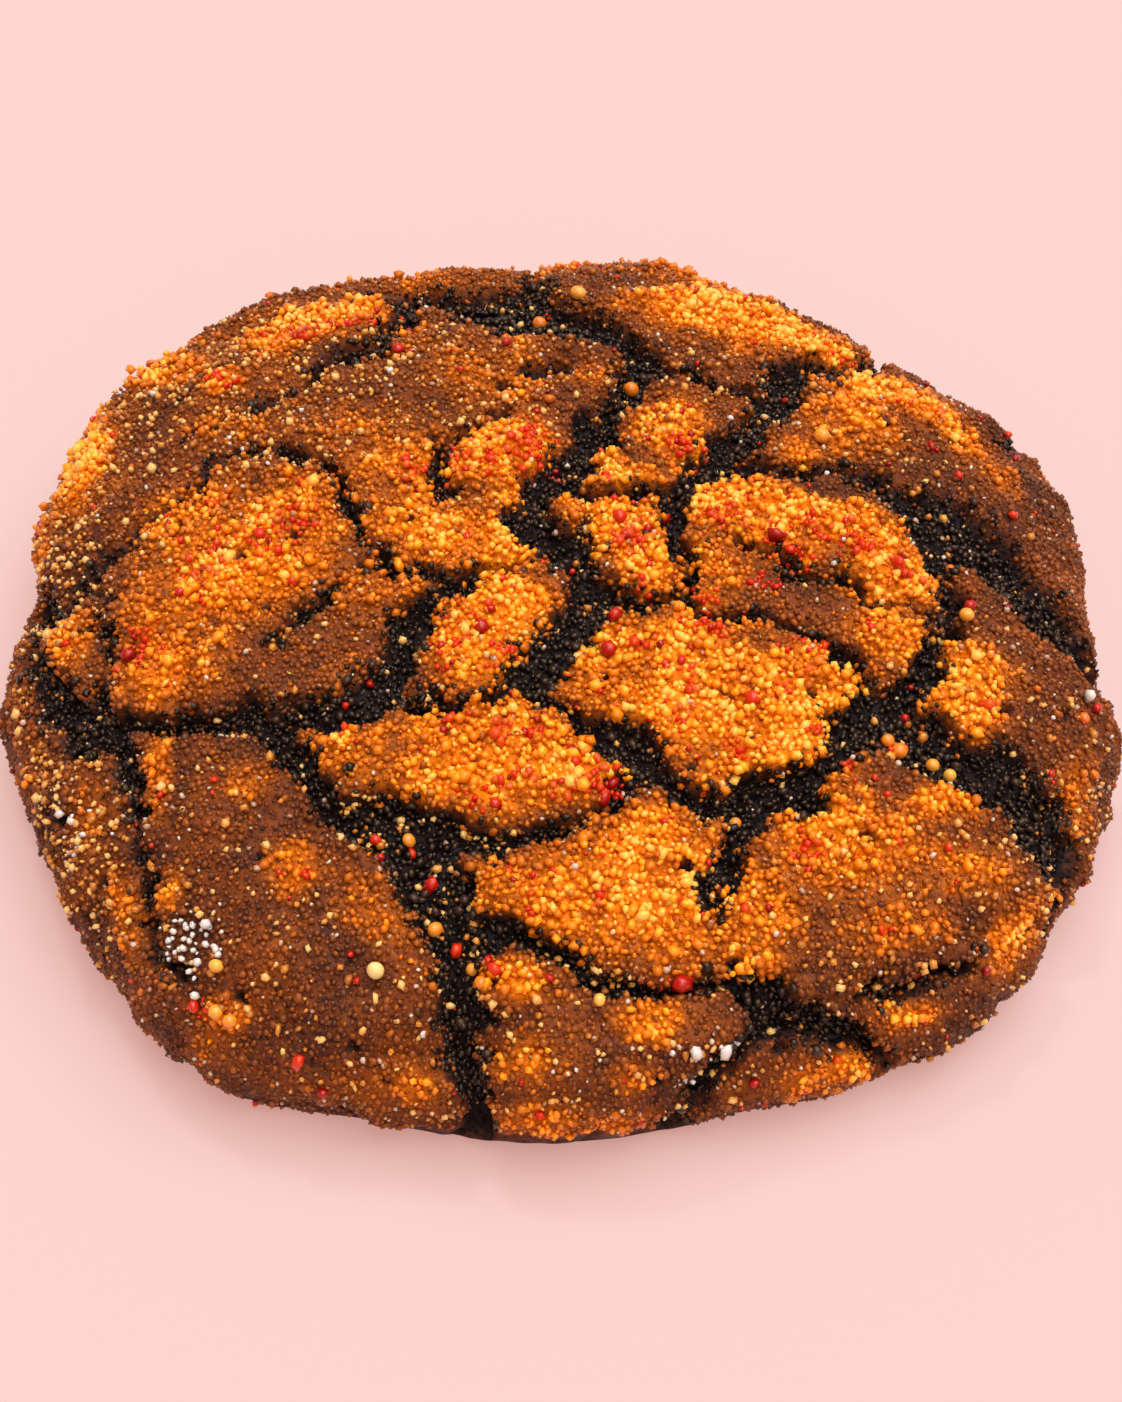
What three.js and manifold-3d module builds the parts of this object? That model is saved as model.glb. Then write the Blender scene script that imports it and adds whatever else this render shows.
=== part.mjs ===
// A chocolate crinkle cookie: a thick soft disc of dark dough whose sugared crust has burst into plates as it
// spread, so that the near-black crumb shows in the cracks between them. Coarse crystals of sugar stick to it.
// Millimetres, +Z up, the origin in the middle of the flat base, and the long front valley towards -Y.
import * as THREE from "three";
import { mergeVertices } from "three/addons/utils/BufferGeometryUtils.js";
import Module from "manifold-3d";

// ---- Driving dimensions, mm ----
const HEIGHT = 20; // base to the middle of the dome
const WAIST_HEIGHT = 6; // the level where the rim bulges furthest out
const FOOT_SHARE = 0.93; // the flat base's radius as a share of the rim's
const DOME_POWER = 2.7; // 2 is an ellipse, and more has a flatter top and a fuller shoulder
const MEAN_RADIUS = 45; // sets how far the crust's flat map reaches down the side
// The rim's radius at equal steps of bearing, anticlockwise from +X
const RIM_RADII = [
  44.2, 46.2, 46.3, 45.4, 46.1, 48.2, 47.7, 47.3, 49.8, 49.9, 48.4, 46.1, 44.2, 45.3, 45.4, 47.4, 49.2, 47.5,
  47.7, 47, 48.2, 48.7, 47.3, 46.3,
];

const CRACK_DEPTH = 1.9; // the crumb's level under a plate's edge in the middle of a wide crack
const CRACK_WALL = { top: 0.5, foot: -0.8 }; // where its wall starts and ends, measured out from the edge
const EDGE_DROP = 0.5; // how far a plate's edge lies below its middle
const PLATE_ROUNDING = 1.6; // how far in from the edge most of that drop takes
const SWELL = 0.5; // height of the slow unevenness of the whole top
const SWELL_LENGTH = 15; // and the distance from one swell to the next
const RAG = 0.4; // how far a crack's edge wanders from its smooth route
const RAG_LENGTH = 4.2;
const FOOT_FADE = 3; // the relief dies away over this height above the base, which stays flat

const RINGS = 38; // rings of facets from the dome's middle to the foot
const PROFILE_STEPS = 240;
const ROUTE_STEPS = 5; // straight pieces between two points of a crack's route

const CRYSTAL_COUNT = 34; // coarse crystals placed by rule, besides those named below
const CRYSTAL_SIZE = { least: 1.3, most: 1.9 }; // across
const CRYSTAL_GAP = 5.5; // the least distance between two of them
const CRYSTAL_SINK = 0.34; // the share of its size that a crystal is sunk in the crust
const CRYSTAL_STRETCH = { least: 0.85, wide: 0.3, high: 0.2 }; // the least, and how much more at most
const SEED = 20240611;

// ---- The cracks ----
// Each is a smooth route over the crust: x, y and half its width there. x and y are measured along the crust
// from the dome's middle, so a route that leaves the top runs on down the side.
const CRACKS = {
  westRim: [[-47, 6, 0.8], [-44.5, -2, 1.6], [-43, -9, 1.5], [-39, -16.5, 1.6], [-34, -18.8, 1.6]],
  westValley: [[-34, -18.2, 1.3], [-29, -18.4, 1.1], [-24.4, -19.6, 1.1], [-20.6, -22, 1.4],
    [-15.8, -27.6, 1.6], [-8.5, -34, 2.5], [-6.8, -40, 1.8], [-6.5, -47, 1.6], [-6.8, -57, 1.3]],
  midWest: [[-7.6, -7.8, 1.5], [-10.6, -11, 1.1], [-12, -15.6, 1.9], [-15, -19, 2.1], [-20, -21, 1.6]],
  wedgeSlit: [[-7.6, -7.8, 1.4], [-4.6, -6.4, 0.8], [-2, -4.9, 0.6]],
  lobeSlit: [[-9, -7.4, 0.8], [-12.4, -5.2, 0.6], [-14.8, -2.8, 0.4], [-16.2, 1, 0.3], [-17.8, 5.6, 0.4]],
  westPlateSlit: [[-21.8, -13, 0.4], [-19.5, -10.2, 0.4], [-16.5, -7.5, 0.3]],
  centreRiver: [[-1.6, 4.5, 1.9], [-1.8, 0.3, 1.6], [1.8, -4.9, 1.7], [3.2, -8.3, 1.8], [0.5, -12.6, 2],
    [-1.8, -17.6, 1.8]],
  southRiver: [[-1.8, -17.6, 1.8], [0.5, -20, 0.9], [6, -23.9, 1.4], [9.6, -27, 1.3], [14.5, -27.9, 2],
    [19, -25.4, 1.5], [24, -19.7, 2.4]],
  triangleTop: [[-2, -18.8, 1.2], [-6, -19.2, 0.6], [-10.5, -18.8, 0.9]],
  triangleFoot: [[-14, -28.6, 1.2], [-8, -31.6, 2.2], [-3, -31.2, 1.2], [1.5, -30.3, 0.6], [4.6, -28.6, 0.6],
    [6.2, -26.2, 0.9]],
  southSlit: [[-6, -38.5, 1.6], [-2.5, -39.6, 1], [5, -42.6, 0.8], [9, -42, 0.4], [13, -42, 0.8],
    [16, -44, 1.5], [20, -45.6, 1.2], [24, -45.4, 0.9], [28, -49, 0.9]],
  frontSlit: [[16, -45, 1.4], [13.3, -48.5, 1.1], [9, -56, 0.8]],
  eastFrontSlit: [[22, -41.6, 0.3], [26.5, -41.3, 0.9], [32.5, -39, 0.8]],
  southStem: [[14.5, -28.5, 2], [12.6, -33, 1.2], [11.3, -35.8, 0.6], [10.8, -37.5, 0.2]],
  northValley: [[-17, 37, 1.5], [-10, 35, 3], [-4, 30.5, 4], [2, 28, 3.4], [7, 23.5, 2.3]],
  northExit: [[-2, 32, 3], [-2, 38, 1.2], [-2.5, 46, 0.2]],
  northSlit: [[-14, 34.6, 1.6], [-14.2, 29.5, 1.1], [-15.2, 25, 0.9], [-18.6, 23, 0.9], [-21.2, 20.2, 1],
    [-23, 17.2, 0.8], [-27.5, 15.6, 0.6], [-31.5, 14.2, 0.4]],
  northStem: [[7, 24, 2], [6.2, 18, 1.3], [4, 12.6, 1.2], [2.5, 8.6, 1.5], [-1.4, 4.2, 1.9]],
  northEastSlit: [[7.5, 23, 1.5], [11.5, 19.4, 0.9], [15, 18.2, 0.6], [18.5, 16.8, 1.5]],
  northEast: [[31, 32.6, 0.8], [26, 25, 1.2], [22.3, 22.4, 1.9], [18.6, 16.8, 1.7], [16, 11.6, 1.6],
    [9.3, 3, 1.3]],
  centreLink: [[9.3, 3, 1.2], [4.5, 3.2, 0.7], [-1.4, 4, 1.6]],
  centreEast: [[9.3, 3, 1.2], [8.7, -2, 0.9], [9.9, -5.6, 0.8], [9.4, -9.4, 0.8]],
  eastArc: [[12.5, 5.6, 1.5], [18, 7, 1], [24, 7, 1.2], [29, 4.8, 1.6], [34.5, 1.2, 3.4], [39.5, -2.6, 3.2],
    [44, -6.8, 2.4], [52, -11, 1.4]],
  eastStem: [[31.3, 0, 1.6], [31.4, -6, 0.8], [30.3, -10.8, 0.8], [27.6, -15.4, 1.5], [24, -19.7, 2.4]],
  southEast: [[24, -19.7, 2.4], [29, -21.7, 2], [34.5, -23.4, 3.1], [38.5, -26, 3], [41, -30, 1.8],
    [44, -38, 1]],
  eastSlit: [[13.5, -2, 0.4], [16.5, -3.2, 0.5], [19.5, -5.4, 0.6], [22.6, -6.6, 0.5], [24.6, -8.8, 0.5],
    [29.5, -8.8, 0.4]],
  stripSlit: [[3.2, -8.3, 1.6], [8, -9.2, 0.8], [12, -10.8, 0.7], [16, -10.6, 0.6], [20.5, -12.6, 0.8],
    [24.5, -17.4, 1.8]],
  southWestRim: [[-33.5, -20, 0.9], [-32.8, -24, 1], [-31.4, -28, 0.5], [-30.4, -35, 0.8], [-27.6, -41, 0.5]],
  northWestSlit: [[-17.8, 6.2, 0.5], [-21.5, 8.2, 0.6], [-25, 10.2, 0.6], [-29.3, 10.4, 0.5], [-30, 6.6, 0.6],
    [-34, 2.6, 0.8], [-41.5, -3, 0.9]],
  lumpSlit: [[-36.8, -5, 0.3], [-35.8, -11, 0.4], [-36.3, -16, 1.3]],
  holeSlit: [[-7, 12.5, 0.6], [-8.2, 9.5, 0.6], [-9.4, 6.4, 0.7], [-8.8, 3.4, 0.9]],
};
// Short splits that run down the back of the rim, at equal steps of bearing
const BACK_SPLITS = { count: 7, from: 24, to: 164, start: 0.96, end: 1.22, halfWidth: 0.5, lean: 0.03 };

// The crystals large enough to be told apart: x and y along the crust, and size across
const NAMED_CRYSTALS = [
  [6.5, 18.5, 1.9], [22, 11, 1.7], [-13.6, 22.6, 1.7], [-13.2, 30, 2], [-13.3, 18, 1.2], [-34.5, 20.5, 1.3],
  [24.5, 5.4, 1.9], [27.7, 4.3, 2], [31.8, -9, 1.7], [25.6, -21.4, 2.8], [29, -22.3, 1.3], [44.2, -12.8, 1.5],
  [-12.6, -41.3, 1.8], [9.2, -42.2, 2.4], [10, -47.4, 1.6], [12.6, -47.8, 2], [-10.6, -31, 1.6],
  [-9, -34.6, 1.4], [-8.7, -38, 1.5], [-33, -26.8, 1.9], [-38, -24.6, 1.9], [-26.6, -42.4, 1.7],
  [-24.3, -43.8, 2.6], [-25.2, -37.5, 2.2], [-28.7, -33.8, 2.2], [-19, -47.4, 1.7],
];

// ---- Helpers ----
const ramp = (value, low, high) => THREE.MathUtils.smoothstep(value, low, high);

// A repeatable stream of numbers from 0 to 1
function drawsFrom(seed) {
  let state = seed >>> 0;
  return () => {
    state = (Math.imul(state, 1664525) + 1013904223) >>> 0;
    return state / 2 ** 32;
  };
}

// Smooth unevenness from -1 to 1: three crossed waves, each bent by the next
function waves(x, y, length, shift) {
  const k = (2 * Math.PI) / length;
  const a = Math.sin(k * (0.8 * x + 0.6 * y) + shift);
  const b = Math.sin(k * (-0.5 * x + 0.9 * y) * 1.3 + 2.1 * shift + a);
  const c = Math.sin(k * (0.3 * x - 1.1 * y) * 1.9 + 3.7 * shift + b);
  return (a + b + c) / 3;
}

// The rim's radius at a bearing in radians: a smooth closed curve through RIM_RADII
function rimRadius(bearing) {
  const count = RIM_RADII.length;
  const turn = ((bearing / (2 * Math.PI)) % 1 + 1) % 1;
  const first = Math.floor(turn * count);
  const t = turn * count - first;
  const [a, b, c, d] = [-1, 0, 1, 2].map((step) => RIM_RADII[(first + step + count) % count]);
  return b + (t * (c - a + t * (2 * a - 5 * b + 4 * c - d + t * (3 * (b - c) + d - a)))) / 2;
}

// ---- The plain form: a section from the dome's middle, over the shoulder and round to the foot ----
// Each point has its share of the rim's radius, its height, and its way along the section in mean radii.
function section() {
  const points = [];
  for (let i = 0; i <= PROFILE_STEPS; i++) {
    const angle = ((i / PROFILE_STEPS) * Math.PI) / 2;
    const share = Math.sin(angle) ** (2 / DOME_POWER);
    points.push({ share, height: WAIST_HEIGHT + (HEIGHT - WAIST_HEIGHT) * Math.cos(angle) });
  }
  const under = PROFILE_STEPS / 3;
  for (let i = 1; i <= under; i++) {
    const angle = ((i / under) * Math.PI) / 2;
    const share = FOOT_SHARE + (1 - FOOT_SHARE) * Math.cos(angle);
    points.push({ share, height: WAIST_HEIGHT * (1 - Math.sin(angle)) });
  }
  let way = 0;
  points.forEach((point, i) => {
    const last = points[Math.max(i - 1, 0)];
    way += Math.hypot((point.share - last.share) * MEAN_RADIUS, point.height - last.height) / MEAN_RADIUS;
    point.way = way;
  });
  return points;
}
const SECTION = section();
const REACH = SECTION[SECTION.length - 1].way;

// The section's place and outward direction at a way along it
function along(way) {
  let i = 1;
  while (i < SECTION.length - 1 && SECTION[i].way < way) i++;
  const [a, b] = [SECTION[i - 1], SECTION[i]];
  const t = THREE.MathUtils.clamp((way - a.way) / (b.way - a.way), 0, 1);
  const rise = b.height - a.height;
  const run = (b.share - a.share) * MEAN_RADIUS;
  const length = Math.hypot(rise, run);
  return {
    share: a.share + (b.share - a.share) * t,
    height: a.height + rise * t,
    out: -rise / length,
    up: run / length,
  };
}

// ---- The relief ----
// Each crack as short straight pieces with a half width at both ends
function pieces() {
  const routes = Object.values(CRACKS);
  for (let i = 0; i < BACK_SPLITS.count; i++) {
    const { from, to, count, start, end, halfWidth, lean } = BACK_SPLITS;
    const bearing = THREE.MathUtils.degToRad(from + ((to - from) * i) / (count - 1));
    routes.push([start, (start + end) / 2, end].map((share, k) => {
      const leaning = bearing + lean * Math.sin(5 * i + 2 * k);
      const radius = share * rimRadius(leaning);
      return [radius * Math.cos(leaning), radius * Math.sin(leaning), halfWidth * (0.5 + 0.4 * k)];
    }));
  }
  return routes.flatMap((route) => {
    const curve = new THREE.CatmullRomCurve3(route.map(([x, y, half]) => new THREE.Vector3(x, y, half)));
    const points = curve.getPoints((route.length - 1) * ROUTE_STEPS);
    return points.slice(1).map((end, i) => [points[i], end]);
  });
}
const PIECES = pieces();

// How far a place on the crust is from the nearest crack's edge: negative inside the crack
function fromCrack(x, y) {
  const wx = x + RAG * waves(x, y, RAG_LENGTH, 1.3);
  const wy = y + RAG * waves(x, y, RAG_LENGTH, 4.9);
  let least = Infinity;
  for (const [a, b] of PIECES) {
    const [dx, dy] = [b.x - a.x, b.y - a.y];
    const t = THREE.MathUtils.clamp(((wx - a.x) * dx + (wy - a.y) * dy) / (dx * dx + dy * dy), 0, 1);
    const gap = Math.hypot(wx - a.x - t * dx, wy - a.y - t * dy) - (a.z + t * (b.z - a.z));
    least = Math.min(least, gap);
  }
  return least;
}

// Height of the crust over the plain form
function relief(x, y) {
  const gap = fromCrack(x, y);
  const swell = SWELL * waves(x, y, SWELL_LENGTH, 0.7);
  const edge = EDGE_DROP * Math.exp(-Math.max(gap, 0) / PLATE_ROUNDING);
  return swell - edge - CRACK_DEPTH * ramp(-gap, -CRACK_WALL.top, -CRACK_WALL.foot);
}

// A place on the finished surface, from a place along the crust
function onSurface(x, y, lift = 0) {
  const bearing = Math.atan2(y, x);
  const radius = rimRadius(bearing);
  const { share, height, out, up } = along(Math.hypot(x, y) / radius);
  const raised = lift + relief(x, y) * ramp(height, 0, FOOT_FADE);
  const reach = share * radius + out * raised;
  return new THREE.Vector3(reach * Math.cos(bearing), reach * Math.sin(bearing), height + up * raised);
}

// ---- The body: rings of facets, six more to each ring than to the last, closed by the flat base ----
function body() {
  const positions = [onSurface(0, 0)];
  const ringStart = (ring) => (ring === 0 ? 0 : 1 + 3 * ring * (ring - 1));
  for (let ring = 1; ring <= RINGS; ring++) {
    for (let i = 0; i < 6 * ring; i++) {
      const bearing = (i / (6 * ring)) * 2 * Math.PI;
      const way = ((REACH * ring) / RINGS) * rimRadius(bearing);
      positions.push(onSurface(way * Math.cos(bearing), way * Math.sin(bearing)));
    }
  }
  const faces = [];
  const at = (ring, i) => (ring === 0 ? 0 : ringStart(ring) + (((i % (6 * ring)) + 6 * ring) % (6 * ring)));
  for (let ring = 1; ring <= RINGS; ring++) {
    for (let side = 0; side < 6; side++) {
      for (let i = 0; i < ring; i++) {
        const outer = side * ring + i;
        const inner = side * (ring - 1) + i;
        faces.push(at(ring, outer), at(ring, outer + 1), at(ring - 1, inner));
        if (i < ring - 1) faces.push(at(ring - 1, inner), at(ring, outer + 1), at(ring - 1, inner + 1));
      }
    }
  }
  const centre = positions.length;
  positions.push(new THREE.Vector3(0, 0, 0));
  for (let i = 0; i < 6 * RINGS; i++) faces.push(at(RINGS, i + 1), at(RINGS, i), centre);
  const geometry = new THREE.BufferGeometry().setFromPoints(positions);
  geometry.setIndex(faces);
  return geometry;
}

// ---- The coarse crystals ----
// One crystal of sugar: a blunt solid of a few faces, sunk a little in the crust
function crystal(x, y, size, draw) {
  const geometry = new THREE.IcosahedronGeometry(size / 2, 0);
  const { least, wide, high } = CRYSTAL_STRETCH;
  const stretch = new THREE.Vector3(least + wide * draw(), least + wide * draw(), least + high * draw());
  const turn = new THREE.Euler(6 * draw(), 6 * draw(), 6 * draw());
  geometry.scale(stretch.x, stretch.y, stretch.z);
  geometry.applyMatrix4(new THREE.Matrix4().makeRotationFromEuler(turn));
  const place = onSurface(x, y, size * (0.5 - CRYSTAL_SINK));
  return geometry.translate(place.x, place.y, place.z);
}

function crystals() {
  const draw = drawsFrom(SEED);
  const made = NAMED_CRYSTALS.map(([x, y, size]) => ({ x, y, size }));
  const wanted = made.length + CRYSTAL_COUNT;
  while (made.length < wanted) {
    const bearing = 2 * Math.PI * draw();
    const way = Math.sqrt(draw()) * rimRadius(bearing);
    const [x, y] = [way * Math.cos(bearing), way * Math.sin(bearing)];
    const size = THREE.MathUtils.lerp(CRYSTAL_SIZE.least, CRYSTAL_SIZE.most, draw());
    const crowded = made.some((other) => Math.hypot(other.x - x, other.y - y) < CRYSTAL_GAP);
    if (!crowded && fromCrack(x, y) > size / 2) made.push({ x, y, size });
  }
  return made.map(({ x, y, size }) => crystal(x, y, size, draw));
}

// ---- Joining the crystals to the body ----
const wasm = await Module();
wasm.setup();

function solidOf(geometry) {
  const bare = geometry.clone();
  bare.deleteAttribute("normal");
  bare.deleteAttribute("uv");
  const merged = mergeVertices(bare);
  return new wasm.Manifold(new wasm.Mesh({
    numProp: 3,
    vertProperties: new Float32Array(merged.attributes.position.array),
    triVerts: new Uint32Array(merged.index.array),
  }));
}

function geometryOf(solid) {
  const mesh = solid.getMesh();
  const geometry = new THREE.BufferGeometry();
  geometry.setAttribute("position", new THREE.BufferAttribute(mesh.vertProperties, 3));
  geometry.setIndex(new THREE.BufferAttribute(mesh.triVerts, 1));
  return geometry;
}

const joined = crystals().reduce((whole, grain) => whole.add(solidOf(grain)), solidOf(body()));
const cookieGeometry = geometryOf(joined).toNonIndexed();
cookieGeometry.computeBoundingBox();
const middle = cookieGeometry.boundingBox.getCenter(new THREE.Vector3());
cookieGeometry.translate(-middle.x, -middle.y, 0);
cookieGeometry.computeVertexNormals();

const crust = new THREE.MeshStandardMaterial({ color: 0x5a3220, roughness: 0.62, metalness: 0 });
const cookie = new THREE.Mesh(cookieGeometry, crust);
cookie.name = "cookie";

const group = new THREE.Group();
group.add(cookie);
export default group;
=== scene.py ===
"""A chocolate crinkle cookie: a domed disc of dark dough whose sugared crust has burst into plates.

The frame gives one plain solid. Here it is replaced by a fine core with ragged cracks, and by loose grains:
gold, amber, brown, red and white sugar on the crust, small pale specks that are partly white sugar and partly
painted glints, and near-black crumb in the cracks.
Lengths are in millimetres until a mesh is made. Places are given along the crust, as x and y measured from
the dome's middle, so that a place further out than the rim is on the side.
"""
import itertools
import math

import bpy
import numpy as np
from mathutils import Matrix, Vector


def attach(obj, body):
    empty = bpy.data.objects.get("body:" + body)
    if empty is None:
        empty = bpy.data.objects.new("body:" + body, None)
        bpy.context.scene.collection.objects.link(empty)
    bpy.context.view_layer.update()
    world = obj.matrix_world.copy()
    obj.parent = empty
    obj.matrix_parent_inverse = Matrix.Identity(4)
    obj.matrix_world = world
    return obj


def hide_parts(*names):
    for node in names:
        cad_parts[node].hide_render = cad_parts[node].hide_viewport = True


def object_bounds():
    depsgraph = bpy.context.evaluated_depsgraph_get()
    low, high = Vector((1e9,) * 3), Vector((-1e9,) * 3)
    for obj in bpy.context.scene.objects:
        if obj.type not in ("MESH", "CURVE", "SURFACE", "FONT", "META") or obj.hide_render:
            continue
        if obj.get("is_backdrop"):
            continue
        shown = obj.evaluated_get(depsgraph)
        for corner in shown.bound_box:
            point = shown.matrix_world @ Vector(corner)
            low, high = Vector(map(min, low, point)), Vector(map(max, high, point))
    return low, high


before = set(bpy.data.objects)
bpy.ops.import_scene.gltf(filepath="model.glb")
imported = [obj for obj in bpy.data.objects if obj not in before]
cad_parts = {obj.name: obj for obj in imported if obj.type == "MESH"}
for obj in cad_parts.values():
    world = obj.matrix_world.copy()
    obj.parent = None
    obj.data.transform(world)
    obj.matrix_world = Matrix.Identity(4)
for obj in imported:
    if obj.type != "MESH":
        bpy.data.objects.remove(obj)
CAD_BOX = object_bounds()
MM = 0.001

# ---- The form, as in the solid ----
HEIGHT = 20  # base to the middle of the dome
WAIST_HEIGHT = 6  # where the rim is widest
FOOT_SHARE = 0.93  # the flat base's radius as a share of the rim's
DOME_POWER = 2.7  # 2 is an ellipse, and more has a flatter top and a fuller shoulder
MEAN_RADIUS = 45  # sets how far the crust's flat map reaches down the side
# The rim's radius at equal steps of bearing, anticlockwise from +X
RIM_RADII = [44.2, 46.2, 46.3, 45.4, 46.1, 48.2, 47.7, 47.3, 49.8, 49.9, 48.4, 46.1, 44.2, 45.3, 45.4, 47.4,
    49.2, 47.5, 47.7, 47, 48.2, 48.7, 47.3, 46.3]
MIDDLE = (-0.19, -0.19)  # the dome's middle from the middle of the solid's box

CRACK_DEPTH = 1.9  # from a plate's edge down to the crumb
CRACK_WALL = (0.35, -0.35)  # where a crack's wall starts and ends, measured out from its edge
SUGAR_ENDS = 0.05  # how far outside a crack's edge the sugar ends
EDGE_SCATTER = 0.35  # and how unevenly it does
LEAST_HALF_WIDTH = 0.5  # of a crack, so that the sugar doesn't hide it
EDGE_DROP = 0.5  # how far a plate's edge lies below its middle
PLATE_ROUNDING = 1.6  # how far in from the edge most of that drop takes
SWELL = 0.5  # height of the slow unevenness of the whole top
SWELL_LENGTH = 15  # from one swell to the next
RAG = 0.4  # how far a crack's edge wanders from its smooth route
RAG_LENGTH = 4.2
FOOT_FADE = 3  # the height above the base over which the relief grows

# Each crack is a smooth route: x, y and half its width there
CRACKS = {
    "west_rim": [(-47, 6, 0.8), (-44.5, -2, 1.6), (-43, -9, 1.5), (-39, -16.5, 1.6), (-34, -18.8, 1.6)],
    "west_valley": [(-34, -18.2, 1.3), (-29, -18.4, 1.1), (-24.4, -19.6, 1.1), (-20.6, -22, 1.4),
        (-15.8, -27.6, 1.6), (-8.5, -34, 2.5), (-6.8, -40, 1.8), (-6.5, -47, 1.6), (-6.8, -57, 1.3)],
    "mid_west": [(-7.6, -7.8, 1.5), (-10.6, -11, 1.1), (-12, -15.6, 1.9), (-15, -19, 2.1), (-20, -21, 1.6)],
    "wedge_slit": [(-7.6, -7.8, 1.4), (-4.6, -6.4, 0.8), (-2, -4.9, 0.6)],
    "lobe_slit": [(-9, -7.4, 0.8), (-12.4, -5.2, 0.6), (-14.8, -2.8, 0.4), (-16.2, 1, 0.3),
        (-17.8, 5.6, 0.4)],
    "west_plate_slit": [(-21.8, -13, 0.4), (-19.5, -10.2, 0.4), (-16.5, -7.5, 0.3)],
    "centre_river": [(-1.6, 4.5, 1.9), (-1.8, 0.3, 1.6), (1.8, -4.9, 1.7), (3.2, -8.3, 1.8), (0.5, -12.6, 2),
        (-1.8, -17.6, 1.8)],
    "south_river": [(-1.8, -17.6, 1.8), (0.5, -20, 0.9), (6, -23.9, 1.4), (9.6, -27, 1.3), (14.5, -27.9, 2),
        (19, -25.4, 1.5), (24, -19.7, 2.4)],
    "triangle_top": [(-2, -18.8, 1.2), (-6, -19.2, 0.6), (-10.5, -18.8, 0.9)],
    "triangle_foot": [(-14, -28.6, 1.2), (-8, -31.6, 2.2), (-3, -31.2, 1.2), (1.5, -30.3, 0.6),
        (4.6, -28.6, 0.6), (6.2, -26.2, 0.9)],
    "south_slit": [(-6, -38.5, 1.6), (-2.5, -39.6, 1), (5, -42.6, 0.8), (9, -42, 0.4), (13, -42, 0.8),
        (16, -44, 1.5), (20, -45.6, 1.2), (24, -45.4, 0.9), (28, -49, 0.9)],
    "front_slit": [(16, -45, 1.4), (13.3, -48.5, 1.1), (9, -56, 0.8)],
    "east_front_slit": [(22, -41.6, 0.3), (26.5, -41.3, 0.9), (32.5, -39, 0.8)],
    "south_stem": [(14.5, -28.5, 2), (12.6, -33, 1.2), (11.3, -35.8, 0.6), (10.8, -37.5, 0.2)],
    "north_valley": [(-17, 37, 1.5), (-10, 35, 3), (-4, 30.5, 4), (2, 28, 3.4), (7, 23.5, 2.3)],
    "north_exit": [(-2, 32, 3), (-2, 38, 1.2), (-2.5, 46, 0.2)],
    "north_slit": [(-14, 34.6, 1.6), (-14.2, 29.5, 1.1), (-15.2, 25, 0.9), (-18.6, 23, 0.9),
        (-21.2, 20.2, 1), (-23, 17.2, 0.8), (-27.5, 15.6, 0.6), (-31.5, 14.2, 0.4)],
    "north_stem": [(7, 24, 2), (6.2, 18, 1.3), (4, 12.6, 1.2), (2.5, 8.6, 1.5), (-1.4, 4.2, 1.9)],
    "north_east_slit": [(7.5, 23, 1.5), (11.5, 19.4, 0.9), (15, 18.2, 0.6), (18.5, 16.8, 1.5)],
    "north_east": [(31, 32.6, 0.8), (26, 25, 1.2), (22.3, 22.4, 1.9), (18.6, 16.8, 1.7), (16, 11.6, 1.6),
        (9.3, 3, 1.3)],
    "centre_link": [(9.3, 3, 1.2), (4.5, 3.2, 0.7), (-1.4, 4, 1.6)],
    "centre_east": [(9.3, 3, 1.2), (8.7, -2, 0.9), (9.9, -5.6, 0.8), (9.4, -9.4, 0.8)],
    "east_arc": [(12.5, 5.6, 1.5), (18, 7, 1), (24, 7, 1.2), (29, 4.8, 1.6), (34.5, 1.2, 3.4),
        (39.5, -2.6, 3.2), (44, -6.8, 2.4), (52, -11, 1.4)],
    "east_stem": [(31.3, 0, 1.6), (31.4, -6, 0.8), (30.3, -10.8, 0.8), (27.6, -15.4, 1.5), (24, -19.7, 2.4)],
    "south_east": [(24, -19.7, 2.4), (29, -21.7, 2), (34.5, -23.4, 3.1), (38.5, -26, 3), (41, -30, 1.8),
        (44, -38, 1)],
    "east_slit": [(13.5, -2, 0.4), (16.5, -3.2, 0.5), (19.5, -5.4, 0.6), (22.6, -6.6, 0.5),
        (24.6, -8.8, 0.5), (29.5, -8.8, 0.4)],
    "strip_slit": [(3.2, -8.3, 1.6), (8, -9.2, 0.8), (12, -10.8, 0.7), (16, -10.6, 0.6), (20.5, -12.6, 0.8),
        (24.5, -17.4, 1.8)],
    "south_west_rim": [(-33.5, -20, 0.9), (-32.8, -24, 1), (-31.4, -28, 0.5), (-30.4, -35, 0.8),
        (-27.6, -41, 0.5)],
    "north_west_slit": [(-17.8, 6.2, 0.5), (-21.5, 8.2, 0.6), (-25, 10.2, 0.6), (-29.3, 10.4, 0.5),
        (-30, 6.6, 0.6), (-34, 2.6, 0.8), (-41.5, -3, 0.9)],
    "lump_slit": [(-36.8, -5, 0.3), (-35.8, -11, 0.4), (-36.3, -16, 1.3)],
    "hole_slit": [(-7, 12.5, 0.6), (-8.2, 9.5, 0.6), (-9.4, 6.4, 0.7), (-8.8, 3.4, 0.9)],
}
# Short splits that run down the back of the rim, at equal steps of bearing
BACK_SPLITS = {"count": 7, "from": 24, "to": 164, "start": 0.96, "end": 1.22, "half_width": 0.5, "lean": 0.03}

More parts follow.
